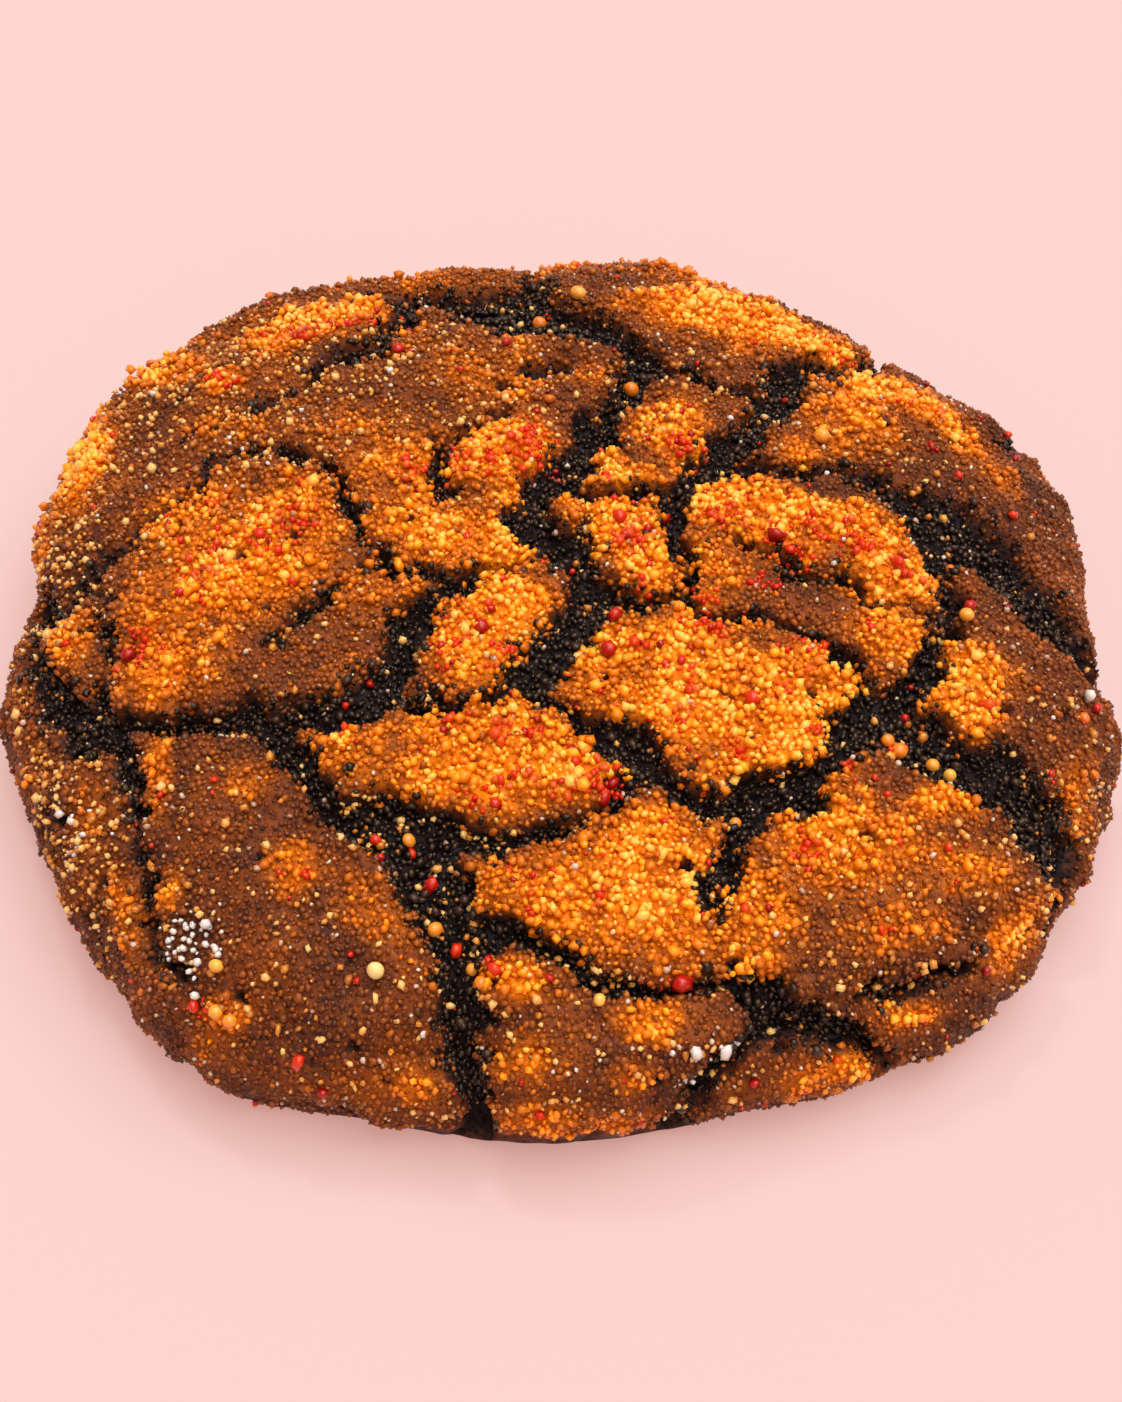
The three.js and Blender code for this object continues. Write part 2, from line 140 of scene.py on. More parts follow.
# ---- The fine relief ----
FRAY = [(3.2, 1), (1.5, 0.65)]  # how a crack's edge is frayed: length and amplitude
KNOBS = [(3.6, 0.4), (1.5, 0.2)]  # lumps on the plates
CLODS = [(1.9, 0.4), (0.9, 0.22)]  # lumps in the cracks
CREASES = (5.5, 0.07, 0.4)  # thin wrinkles on the plates: length, width as a share of it, and depth
PIT_COUNT = 110
PIT_REACH = 1.15  # how far out they go, in mean radii
PIT_RADIUS = (0.3, 0.6)  # the least and the most
PIT_WALL = (0.3, 1.3)  # where a pit's wall starts and ends, as shares of its radius
PIT_DEPTH = 1.1
PIT_CRUMB = 0.4  # crumb lies where a pit is deeper than this share of that
# Where the ground is broken: x, y, its reach each way, and how broken it is
RUBBLE = [(-1, 15, 10, 9, 1), (5, 0.5, 4.5, 6, 0.45)]
RUBBLE_EDGE = (0.6, 1.1)  # between these shares of its reach it becomes whole
RUBBLE_SPLITS = (2.3, 0.8, 2.8)  # its splits: length, how far apart they are, and how that varies
RUBBLE_LUMPS = (2.6, 0.55)  # the lumps on it: length and height
DIMPLE = 0.35  # depth of the dimples in the underside
DIMPLE_SHAPE = [(5, 1), (2, 0.5)]  # their lengths, and how strong each is

# ---- How fine the core is ----
RINGS = 152  # rings of facets from the dome's middle to the foot
BASE_RINGS = 18  # and from there to the middle of the underside
FIELD_STEP = 0.2  # of the grid on which the gaps to the cracks are kept
FIELD_REACH = 66  # and how far it goes out from the middle
FAR = 9  # gaps larger than this aren't told apart

# ---- Sugar on the crust: x, y, reach along and across, how thickly it lies, and any tilt in degrees ----
PATCH_FALL = (0.69, 1.7)  # a patch is half as thick at its reach, and how sharply it thins there
SUGAR = {
    "west_plate": [(-24, -3, 9, 6, 0.84, 35), (-31, 3, 6, 3, 0.6, 40), (-29, -14, 6, 3.4, 0.68),
        (-33, -9, 3, 6, 0.55), (-19, 3, 6, 4.4, 0.55), (-18, -13, 6, 4, 0.26), (-13, -7, 4.5, 3, 0.62)],
    "west_lump": [(-39, -8, 2.2, 3.2, 0.6), (-36.5, -26, 1.6, 5, 0.3, 10)],
    "west_rim": [(-36, 28, 6, 2.8, 0.85, -45), (-42.6, 18, 3.2, 9, 1, 12), (-46, 8, 2.2, 5, 0.5),
        (-30, 35, 6, 2.6, 0.6, 30), (-38, 9, 3, 2, 0.3, 60)],
    "north_west": [(-22, 29.5, 6.4, 3.6, 0.95, 12), (-29, 20.5, 1.8, 1.4, 0.8),
        (-27, 13.8, 4, 1.8, 0.4, -20), (-16, 11, 5, 3, 0.3), (-13, 26, 2, 4, 0.3)],
    "centre_west": [(-12, 4.5, 6.5, 4.6, 0.56), (-4, 7, 4, 6, 0.92, -10), (-4, 14, 2.6, 4, 0.25),
        (-9, -2, 7, 5, 0.7), (-4.5, -3, 3.4, 4, 0.8), (-8, 19, 3, 3, 0.25)],
    "north_east": [(17, 31, 8.6, 5.6, 1.2, -8), (23.5, 27.5, 4, 3.4, 1.2, -25), (8, 33, 3, 3, 0.2)],
    "east": [(28, 21.5, 6, 4, 1.15, -30), (34, 17, 5, 3, 0.86, -45), (24, 14, 5.5, 3.6, 0.58, -20),
        (38, 11, 3, 2, 0.55, -60)],
    "rubble": [(9.5, 11.5, 3, 3.6, 0.85), (12, 8, 2.6, 3, 0.75), (3.4, 6.8, 2, 2, 0.85),
        (2.5, 1, 3, 2.4, 0.85), (6, 4.2, 2.4, 2, 0.9), (3, 19, 1.8, 2, 0.5), (-2.5, 19, 2, 4, 0.5),
        (7.5, 3.5, 2, 2, 0.88), (20, 9, 1.8, 1.8, 0.7)],
    "island": [(5.2, -0.5, 3.4, 2.8, 0.95), (7.2, -5.5, 2.6, 3.4, 0.88, 20), (4.2, -3, 2, 2, 0.82)],
    "centre_east": [(14, 1.8, 4.4, 3.6, 0.86), (21, 0.8, 8, 3.2, 0.92, -12), (26.5, -4, 4.4, 4.4, 0.94, -30),
        (12.5, -4.5, 2.6, 3.6, 0.66), (17.5, -1.6, 4.4, 2.6, 0.82, -30)],
    "east_strip": [(25.6, -11.6, 3.6, 2.6, 0.68, -20), (18.5, -9, 5, 1.4, 0.2, -20),
        (11.6, -9.3, 1.4, 1.2, 0.8)],
    "middle": [(11, -17.5, 10, 7, 0.98, -8), (14.5, -22.5, 7, 5.5, 0.96), (5, -16.5, 4, 5, 0.84),
        (20.5, -16.5, 4, 4, 0.82)],
    "east_plate": [(31, -16.5, 3.4, 4.6, 0.92, -15), (33, -13.5, 2.5, 1.6, 0.5), (42, -22, 2, 5, 0.45, -20)],
    "triangle": [(-5, -24.5, 8, 5, 0.96), (-13, -23.5, 5, 3, 0.7, -5), (1.6, -25.5, 4.4, 3.4, 0.95)],
    "zigzag": [(-5.2, -13, 4.4, 5.4, 0.88), (-3.6, -8.4, 3.6, 2.6, 0.92, -30)],
    "front": [(5.5, -34.6, 7.6, 4.8, 0.93, 10), (6.5, -30.6, 4, 2, 0.85, 20), (-2.5, -36, 4, 3, 0.6),
        (9, -39.5, 2.6, 2, 0.75)],
    "front_east": [(20.5, -31, 6, 4, 0.76, 20), (14.5, -36, 3.4, 3.8, 0.74), (29.5, -26.4, 4, 1.6, 0.72, 20),
        (36.5, -35.5, 2.4, 4.6, 0.66, -35), (25.5, -37, 5, 2, 0.5, 5), (27.5, -43.6, 3.4, 1.3, 0.7, 8),
        (22, -49, 4.4, 2.4, 0.66, 12), (14, -40, 2.4, 2, 0.6), (30, -32, 5, 2.4, 0.42)],
    "front_middle": [(6.8, -45, 2.4, 1.6, 0.72), (-3, -42.2, 2.6, 1.5, 0.72, -10),
        (-2.5, -48, 2.2, 1.8, 0.55), (6, -49, 2, 1.2, 0.6), (-1, -54, 4, 2.4, 0.5), (5, -54.5, 3, 2, 0.5)],
    "front_west": [(-19, -33.2, 2.1, 2.3, 0.6), (-13, -37, 3, 2.2, 0.48, -35),
        (-22.5, -25.8, 1.6, 1.7, 0.55), (-24.5, -43.8, 1.8, 1.3, 0.85), (-28.6, -33.8, 1.2, 1.4, 0.72),
        (-13, -50, 4, 2, 0.5), (-30, -24, 1.3, 4, 0.62, 5), (-33, -35, 1.5, 3.6, 0.56, 12),
        (-27, -46, 3, 1.4, 0.42, 30)],
}
# Where there is less of it, in the same way
BARE = [(15, -13.6, 2.4, 1.3, 0.6), (-20, -14, 5, 2.6, 0.35, 15), (23, 4, 3, 1.2, 0.7),
    (45, 3, 4, 9, 0.3, 20)]
# Where the sugar is stained red, and where crumbs of it lie in the cracks, in the same way
EMBERS = [(-2, 8, 2.6, 2.4, 0.7, 20), (-5.5, 7.2, 3, 1.4, 0.6), (-11.5, 6, 2, 1.2, 0.5),
    (6, -2.6, 1.8, 1.7, 0.9), (6.6, 3, 0.9, 1, 0.7), (18.3, -3, 1.9, 1, 1, -30), (16.5, -6.5, 1, 0.9, 0.7),
    (22, -2, 3, 1.3, 0.75, -20), (27, -4, 1, 1.4, 0.6), (13.5, 0, 2, 1, 0.6), (11.2, -9.6, 0.9, 0.8, 0.9),
    (7, -8, 0.9, 0.7, 0.6), (-6, -10.5, 2, 0.8, 0.5, 30), (-4, -14.5, 0.8, 0.8, 0.9),
    (-7, -14, 0.8, 0.7, 0.6), (-8, -17, 1.1, 0.8, 0.7), (-7.5, -21, 1, 1.4, 0.7), (-3.6, -23, 0.8, 0.7, 0.9),
    (-1.3, -22.6, 0.8, 0.7, 0.8), (-3, -26, 1.1, 0.8, 0.8), (3.4, -27, 1.6, 1, 1, 20),
    (0.8, -27.6, 1.4, 0.8, 0.6), (3.4, -24.4, 0.9, 0.8, 0.8), (-5.8, -28.5, 0.8, 0.7, 0.9),
    (11.5, -12.5, 1.6, 1.2, 0.7), (7, -14, 1, 0.8, 0.7), (18.5, -13.8, 1.4, 0.8, 0.7),
    (13.2, -23.7, 0.9, 0.8, 0.8), (9, -21, 1.2, 1.1, 0.6), (9.5, -17, 1.2, 1, 0.5), (17, -18, 0.8, 1, 0.6),
    (25.5, -21.2, 1.2, 0.9, 0.5), (21.5, -24.3, 0.9, 0.7, 0.7), (18.3, -31.5, 1.2, 0.9, 0.6),
    (-22, -1.5, 4, 2, 0.4, 30), (-27, -4, 2, 3, 0.35), (-32.5, -11.5, 1.4, 2, 0.5),
    (-20, 27.5, 4, 1.2, 0.4, 10), (-28.5, 20.3, 1, 0.8, 0.7), (9, -42.2, 1.2, 0.7, 0.8),
    (-26, -42.8, 1.4, 0.8, 0.6), (10.5, 9, 1.6, 1.4, 0.5)]
CLUMPS = [(-13, -31, 1.8, 1.2, 1), (-10, -30, 2.6, 0.9, 0.9), (-7, -33.6, 1.6, 0.9, 0.6),
    (-4.2, -30.6, 1.8, 0.8, 0.9), (-15, -27, 1.6, 1, 0.8), (-7.6, -35.6, 1.8, 0.9, 0.8),
    (-8.3, -38, 1, 0.7, 0.8), (3, -30.2, 2, 0.8, 0.9), (7, -28.3, 0.8, 1.3, 1), (10, -29, 2.4, 0.7, 0.9),
    (16.3, -31.8, 1.3, 0.7, 0.9), (12, -36.8, 1, 1.2, 0.8), (24, -25, 2.2, 0.9, 0.9, 15),
    (21.4, -26.4, 0.9, 1.3, 1), (25.5, -21.2, 1.2, 0.9, 1), (28.4, -22.8, 1.4, 0.6, 0.8, 30),
    (20.4, -29, 0.9, 1.2, 0.8), (-11, -18.8, 1.2, 0.7, 0.7), (-3.9, -19, 0.8, 0.7, 0.8),
    (3.6, -12, 1.2, 1, 0.7), (2.6, 6.6, 1.6, 1.2, 0.8), (2, 1, 1.8, 1.6, 0.6), (-6, -39.6, 1.4, 0.8, 0.6),
    (5, -41.8, 3, 0.7, 0.6, -10), (-3, 15, 4, 3, 0.2), (4, 19, 3, 3, 0.2), (-6, 33, 4, 2, 0.2),
    (23.2, 7.8, 1.7, 0.8, 0.9), (28, 4.8, 1.5, 0.7, 0.8, -20), (26.5, 9.6, 2, 0.8, 0.5, -10)]
# How bright the crust is, from 0 to 1
BROWN_GLOW = 0.195  # where there is no sugar
WARM_GLOW = 0.1  # and how much more where the brown is warmest
FULL_GLOW = 0.755  # where the sugar lies 1 thick
MOST_SUGAR = 1.3  # it lies no thicker than this
MOTTLE = [(3.4, 0.1), (1.4, 0.09)]  # unevenness of the sugar: length and amplitude
BARE_MOTTLE = 0.4  # and how much of that there is without sugar
BROWN_UNEVEN = [(5, 0.07), (2, 0.05)]  # the same for the brown
WARMTH = (0.42, -0.003, 0.002)  # of the brown: in the middle, and its rise per mm to the right and the back
WARMTH_UNEVEN = [(7, 0.25), (2.5, 0.15)]
BEHIND = (38, 44)  # from here to there, patches that noise lays take over from the known ones
BEHIND_BEND = 0.25  # and how much sooner, per mm to either side
BEHIND_SUGAR = (13, 0.42, 0.3)  # how those lie: length, amplitude, and how thickly on average
FAINT_RED = (0.4, 1.7)  # away from EMBERS: how red the sugar is at most, and its noise's length
FAINT_NOISE = (0.45, 0.9)  # the levels of that noise between which it comes in
FAINT_GLOW = (0.4, 0.7)  # and of the crust's brightness

# ---- Grains ----
SEED = 4107
GRAIN_STEP = 0.555  # from one grain to the next where they lie closest
EDGE_STEP = 0.4  # the same for the further grains that line the cracks
GRAIN_JITTER = 0.16  # how far at most it is off the grid, each way
LOWEST = 0.3  # no grain's middle is nearer than this to what the cookie stands on
FOOT_BARE = 1.6  # and up to this much above that, they thin out
# Each kind of grain: its size, and as shares of that how far it is sunk and how unevenly they are heaped
GRAINS = {"gold": (0.61, 0.12, 0.3), "orange": (0.57, 0.25, 0.24), "russet": (0.5, 0.42, 0.12),
          "brown": (0.46, 0.45, 0.1), "crumb": (0.54, 0.35, 0.3), "loose": (0.48, 0.1, 0.22),
          "white": (0.3, 0, 0.1), "red": (0.56, 0.1, 0.1)}
# Each kind's least and greatest tone, and the share of its places that have a grain
TONE_ENDS = {"gold": (0.63, math.inf), "orange": (0.47, 0.63), "russet": (0.3, 0.47),
             "brown": (-math.inf, 0.3)}
SHARES = {"gold": 0.96, "orange": 0.96, "russet": 0.95, "brown": 0.88, "crumb": 0.95}
SIZE_SPREAD = 0.26  # how widely the sizes are spread
SIZE_ENDS = (-2, 1.7)  # and where that is cut off, in spreads from the middle
TONE_SPREAD = (0.03, 0.1)  # how widely the tones are spread: where there is no sugar, and how much more in it
ROUGH = 0.26  # how uneven a grain is, as a share of its size
CRUMB_ROUGH = 0.42
FLAT = 0.34  # how much it is stretched or flattened
LUMP_LEAN = 42  # of a lump's end corners, up from its waist
FLANK = 0.8  # the side begins where the outward direction points up by less than this
FLANK_SMALLER = 0.15  # how much smaller the grains are on the side, as a share of their size
FLANK_SUNK = 0.12  # and how much further they are sunk
# Painted light and shade: how much paler a grain's top is painted than its middle, and how much darker below
# it
PAINTED_TOP_LIGHT = {"gold": 0.12, "orange": 0.1, "russet": 0.05, "brown": 0.02, "crumb": 0.1, "loose": 0.2}
PALE_SHARE = 0.9  # of the grains where the crust is brightest, those that are paler by PALE_STEP
PALE_STEP = 0.17
# Where stray pale grains lie on the plates, in the same way as the sugar
STREWN = [(-24, 19, 15, 13, 0.3), (-43, 8, 5, 20, 0.55, 5), (-38, -25, 4.5, 11, 0.42, 12),
    (-1, 16, 9, 9, 0.2), (-12, 6, 8, 7, 0.14), (-30, 3, 8, 8, 0.12), (-26, -14, 12, 4, 0.1),
    (38, -30, 7, 14, 0.16, -30), (20, -38, 14, 8, 0.13), (12, 20, 10, 5, 0.16), (26, 12, 10, 5, 0.12, -20),
    (34, -16, 8, 9, 0.1), (0, -46, 16, 10, 0.12), (-20, -36, 10, 14, 0.09, 30), (-10, -14, 8, 6, 0.1)]
LOOSE_SHARE = 0.045  # of the places in the cracks, those with a stray grain of sugar
CLUMP_SHARE = 0.6  # and of those in a clump

# Red crystals that stand out: x, y and size
REDS = [(-13.3, 30, 1.5), (-13.6, 22.6, 1.5), (-4.2, 23, 1), (-16, 30.5, 0.9), (-20, 27.5, 0.9),
    (-28, 19.5, 0.9), (-29.5, 21.3, 0.8), (-47, 12, 1.2), (8.8, 2.2, 1.3), (5, -0.5, 1.4), (5.5, -2.2, 1.1),
    (10.9, -6.8, 1.3), (17.3, -2.1, 1.5), (18.6, -2.8, 1.1), (26.8, -4.3, 1.4), (11.4, -10.8, 1),
    (4.5, -11.5, 1.1), (14.5, -19.5, 1.3), (4, -14.6, 1.3), (1.2, -24.6, 1.2), (4.1, -26.4, 1.7),
    (3.6, -28.2, 1.5), (-4.3, -28.7, 1.2), (-5.7, -12.6, 1.3), (-8.5, -14.6, 0.9), (-14, -16.6, 0.9),
    (-15.8, -18.7, 1), (-13, -31, 1.1), (-12.8, -32.2, 1), (-10.5, -31.7, 1.1), (-9, -34.6, 1.4),
    (-7.2, -39.6, 1.2), (9.2, -42.2, 2.2), (-0.3, -42.2, 1), (-4.2, -41.5, 1.1), (-26.6, -42.8, 1.6),
    (-19, -47.4, 1.6), (-17.7, -50, 1.1), (26.8, -18.4, 0.9), (32.5, -7.3, 1.4), (36.5, -5.5, 0.8),
    (40, -6.5, 0.9), (38.6, -21.6, 1), (44, -13.4, 0.9), (15.7, -50, 1.1), (28.5, -40.4, 1), (33, -39.2, 1),
    (7, -54, 1), (-23.3, -1.5, 1), (-20.4, -6.6, 1.1), (-31, 2.6, 0.9), (-29.8, -0.8, 0.9),
    (-33.5, -11.5, 1.3), (23.5, 30.2, 1), (31.5, 11.8, 1), (33.5, 8.6, 1.1), (20.2, 20.3, 0.9),
    (12.5, 33.5, 0.9), (37.8, 5, 0.9)]
RED_SIZE = 0.85  # the share of their size that all red crystals are made at
RED_COUNT = 520  # further small ones
# How thickly those lie: anywhere, how much more among some grains, and in EMBERS
RED_WEIGHTS = (0.12, {"gold": 0.6, "orange": 0.2}, 6)
STAINED = (0.7, 0.3)  # how red a stained grain of sugar is at least, and how much that varies
TINGED = 0.15  # how red the others are, as a share of how red the place is
# White crystals: x, y and size
WHITES = [(-35, 20.5, 1.1), (-34, 24.5, 0.7), (-14, 18.5, 1), (-27.5, 12.6, 0.7), (-26.4, 11.6, 0.7),
    (-23.5, 7.4, 0.7), (0, -3.5, 0.8), (43.2, -12.6, 1.9), (-38.5, -24.6, 1.5), (-37.4, -25.6, 1.1),
    (-36.4, -27, 1), (-25.2, -37, 1.7), (-25.4, -38.4, 1.2), (-27.2, -38.4, 0.9), (-26.4, -42, 1.1),
    (10.2, -46.9, 2), (12.6, -46.9, 2), (13.6, -46.4, 1.6), (11.2, -50, 1.9), (8.4, -47, 1),
    (34.7, 0.2, 0.9), (23, 7.4, 1), (14.6, 13.2, 0.9), (22, 6, 0.7), (-28.4, -37.6, 0.8),
    (-24.2, -39.4, 0.8)]
WHITE_SIZE = 0.6  # of the sizes above, what they are made at
WHITE_AND_GLINT_COUNT = 2200  # further small ones: pale specks, partly white sugar and partly painted glints
# Where those lie close together, in the same way as the sugar
FROST = [(-26.6, -38.2, 2.4, 2.4, 1), (-37, -26.5, 2, 3, 0.6), (12, -48.5, 3, 2.4, 0.6)]
WHITE_AND_GLINT_WEIGHTS = (0.3, {"crumb": 0.2, "brown": 0.5, "russet": 0.5}, 8)  # as RED_WEIGHTS, with FROST
# Large beads and clumps of gold and orange: x, y, size and tone
BEADS = [(6.5, 18.5, 1.8, 0.35), (22, 11, 1.6, 0.55), (-12.6, -41.3, 1.7, 0.95), (-8.7, -38, 1.5, 0.5),
    (13.2, -29.4, 1.3, 0.45), (-10.6, -31, 1.3, 0.5), (31.8, -9, 1.5, 0.6), (29, -22.3, 1.3, 0.6),
    (30.5, -22.9, 1.3, 0.7), (-24.2, -40.2, 1.3, 0.7), (42.6, -14.9, 1.2, 0.2), (-6, -41.2, 1.3, 0.55),
    (-5.2, -42.4, 1.2, 0.4), (-1.5, 31.2, 1.7, 0.3), (2, 33.4, 1.9, 0.6), (25.2, -21, 1.5, 0.45),
    (26.2, -21.6, 1.5, 0.4), (25.4, -22.2, 1.3, 0.5), (-24.8, -43.4, 1.6, 0.6), (-23.8, -44.2, 1.4, 0.5),
    (3.2, -43.6, 1.2, 0.75), (33, 0, 1, 0.2)]

# ---- Colours ----
FOOT_DARK = 5  # below this height the crust darkens
CRACK_FADE = (-0.15, 0.1)  # where the crust's colour turns to the crumb's, measured in from the edge
BASE_TONE = 0.12  # of the underside
# Linear colours by tone, from the darkest to the palest
SUGAR_STOPS = [(0, (0.03, 0.012, 0.01)), (0.1, (0.088, 0.025, 0.013)), (0.22, (0.18, 0.041, 0.009)),
    (0.34, (0.29, 0.064, 0.008)), (0.46, (0.45, 0.1, 0.004)), (0.58, (0.68, 0.155, 0.002)),
    (0.7, (0.9, 0.23, 0.003)), (0.82, (1, 0.35, 0.008)), (0.92, (1, 0.49, 0.055)),
    (1, (1, 0.64, 0.22))]
LOOSE_STOPS = [(0, (0.35, 0.09, 0.01)), (0.5, (0.68, 0.25, 0.03)), (1, (0.9, 0.55, 0.18))]
CRUMB_STOPS = [(0, (0.004, 0.002, 0.0018)), (0.6, (0.014, 0.0065, 0.0048)), (1, (0.05, 0.023, 0.015))]
CRACK_STOPS = [(0.35, (0.004, 0.002, 0.002)), (0.7, (0.016, 0.008, 0.007))]  # by noise, under the crumb
BEAD_STOPS = [(0, (0.7, 0.1, 0.004)), (0.4, (0.9, 0.24, 0.008)), (0.7, (0.95, 0.45, 0.05)),
    (1, (0.95, 0.72, 0.3))]
RED_STOPS = [(0, (0.16, 0.002, 0.003)), (0.5, (0.45, 0.004, 0.003)), (1, (0.72, 0.03, 0.003))]
# the colours of white sugar, and of the small pale specks that are partly painted glints
WHITE_AND_GLINT_STOPS = [(0, (0.3, 0.12, 0.06)), (0.5, (0.6, 0.36, 0.22)), (0.85, (0.72, 0.56, 0.44)),
    (1, (0.84, 0.8, 0.78))]
WARM = (1, 0.72, 0.4)  # the tint of what dark sugar and crumb reflect
STAIN = (0.66, 0.012, 0.002)
# Patterns in the materials: bumps to a millimetre, and how strong or deep they are
CRUST_NOISE = (1.6, 0.3)
CRUST_PEBBLES = (2.5, 0.16)
CRUST_BUMP = (2.2, 0.4)
CRUST_DARKER = 0.26  # taken from the crust's tone
GRAIN_NOISE = (2.4, 0.14)
GRAIN_BUMP = (4.5, 0.05)

# ---- View and light ----
LOOK_AT = (0.44, -8.97, 8)
ELEVATION = 46
DISTANCE = 190
LENS = 60.92  # focal length
FLOOR_SIDE = 8000  # its far end is close to the horizon, at the top of a low view
FLOOR_COLOUR = (0.304, 0.29, 0.287)
FLOOR_GLOW = (0.53, 0.255, 0.214)  # lightens the shadows on it
FILL = (0.35, 0.27, 0.25)  # light from all round
# Each light's strength, softness, bearing clockwise from behind the cookie, and angle off the vertical
LIGHTS = {"key": (2.7, 62, 80, 16), "spark": (0.5, 8, -20, 28), "front": (0.8, 60, 170, 40)}


# ---- Noise ----
def ramp(value, low, high):
    """0 below low, 1 above high and a smooth rise between"""
    t = np.clip((value - low) / (high - low), 0, 1)
    return t * t * (3 - 2 * t)


def waves(x, y, length, shift):
    """Smooth unevenness from -1 to 1: three crossed waves, each bent by the next"""
    k = 2 * math.pi / length
    a = np.sin(k * (0.8 * x + 0.6 * y) + shift)
    b = np.sin(k * (-0.5 * x + 0.9 * y) * 1.3 + 2.1 * shift + a)
    c = np.sin(k * (0.3 * x - 1.1 * y) * 1.9 + 3.7 * shift + b)
    return (a + b + c) / 3


def cloud(x, y, length, seed):
    """Smooth random unevenness from -1 to 1, with one bump to each length"""
    side = 256
    table = np.random.default_rng(seed).uniform(-1, 1, (side, side))
    u, v = np.asarray(x) / length + side / 2, np.asarray(y) / length + side / 2
    i, j = np.floor(u).astype(int), np.floor(v).astype(int)
    s, t = ramp(u - i, 0, 1), ramp(v - j, 0, 1)
    i, j = i % side, j % side
    k, m = (i + 1) % side, (j + 1) % side
    return (table[i, j] * (1 - s) + table[k, j] * s) * (1 - t) + (table[i, m] * (1 - s) + table[k, m] * s) * t


def add_clouds(value, x, y, layers, seed):
    """A value with clouds added, each with its length and amplitude"""
    for n, (length, amount) in enumerate(layers):
        value = value + amount * cloud(x, y, length, seed + n)
    return value


# ---- The plain form ----
def curve_point(a, b, c, d, t):
    """A smooth curve at t, from 0 at b to 1 at c, where a and d are the points before and after"""
    return b + t * (c - a + t * (2 * a - 5 * b + 4 * c - d + t * (3 * (b - c) + d - a))) / 2


def rim_radius(bearing):
    """The rim's radius at a bearing: a smooth closed curve through RIM_RADII"""
    radii = np.array(RIM_RADII, float)
    turn = np.asarray(bearing) / (2 * math.pi) % 1 * len(radii)
    first = np.floor(turn).astype(int)
    return curve_point(*(radii[(first + step) % len(radii)] for step in (-1, 0, 1, 2)), turn - first)


def section(steps=240):
    """The section from the dome's middle to the foot

    It has the share of the rim's radius, the height, and the way along it in mean radii.
    """
    angle = np.linspace(0, math.pi / 2, steps + 1)
    under = np.linspace(0, math.pi / 2, steps // 3 + 1)[1:]
    share = np.concatenate([np.sin(angle) ** (2 / DOME_POWER), FOOT_SHARE + (1 - FOOT_SHARE) * np.cos(under)])
    dome = WAIST_HEIGHT + (HEIGHT - WAIST_HEIGHT) * np.cos(angle)
    height = np.concatenate([dome, WAIST_HEIGHT * (1 - np.sin(under))])
    step = np.hypot(np.diff(share) * MEAN_RADIUS, np.diff(height)) / MEAN_RADIUS
    return share, height, np.concatenate([[0], np.cumsum(step)])


SHARE, RISE, WAY = section()
REACH = WAY[-1]
SLOPE_OUT = np.gradient(SHARE * MEAN_RADIUS, WAY * MEAN_RADIUS)
SLOPE_UP = np.gradient(RISE, WAY * MEAN_RADIUS)


def plain(x, y):
    """Radius, height, and the outward direction's two parts on the plain form"""
    radius = rim_radius(np.arctan2(y, x))
    way = np.hypot(x, y) / radius
    share, height, along, rise = (np.interp(way, WAY, part) for part in (SHARE, RISE, SLOPE_OUT, SLOPE_UP))
    length = np.hypot(along, rise)
    return share * radius, height, -rise / length, along / length


# ---- Cracks ----
def smooth_route(route, steps=6):
    """Points of a smooth curve through a route's points"""
    points = np.array(route, float)
    ends = np.vstack([2 * points[0] - points[1], points, 2 * points[-1] - points[-2]])
    curve = []
    for four in zip(ends, ends[1:], ends[2:], ends[3:]):
        curve += [curve_point(*four, t) for t in np.arange(steps) / steps]
    return np.array(curve + [points[-1]])


def back_splits():
    """Short splits down the back of the rim"""
    for i in range(BACK_SPLITS["count"]):
        share = i / (BACK_SPLITS["count"] - 1)
        bearing = math.radians(BACK_SPLITS["from"] + (BACK_SPLITS["to"] - BACK_SPLITS["from"]) * share)
        route = []
        for k, reach in enumerate(np.linspace(BACK_SPLITS["start"], BACK_SPLITS["end"], 3)):
            lean = bearing + BACK_SPLITS["lean"] * math.sin(5 * i + 2 * k)
            radius = reach * float(rim_radius(lean))
            half_width = BACK_SPLITS["half_width"] * (0.5 + 0.4 * k)
            route.append((radius * math.cos(lean), radius * math.sin(lean), half_width))
        yield route


def crack_field():
    """The gap to the nearest crack's edge on a square grid, negative inside a crack"""
    line = np.arange(-FIELD_REACH, FIELD_REACH + FIELD_STEP, FIELD_STEP)
    gap = np.full((len(line), len(line)), float(FAR))
    for route in [*CRACKS.values(), *back_splits()]:
        curve = smooth_route(route)
        for a, b in zip(curve, curve[1:]):
            low = np.minimum(a, b)[:2] - FAR
            high = np.maximum(a, b)[:2] + FAR
            i, j = (slice(*np.searchsorted(line, (low[k], high[k]))) for k in (0, 1))
            x, y = np.meshgrid(line[i], line[j], indexing="ij")
            along = b - a
            t = (x - a[0]) * along[0] + (y - a[1]) * along[1]
            t = np.clip(t / (along[0] ** 2 + along[1] ** 2), 0, 1)
            half_width = np.maximum(a[2] + t * along[2], LEAST_HALF_WIDTH)
            here = np.hypot(x - a[0] - t * along[0], y - a[1] - t * along[1]) - half_width
            gap[i, j] = np.minimum(gap[i, j], here)
    return gap


CRACK_FIELD = crack_field()


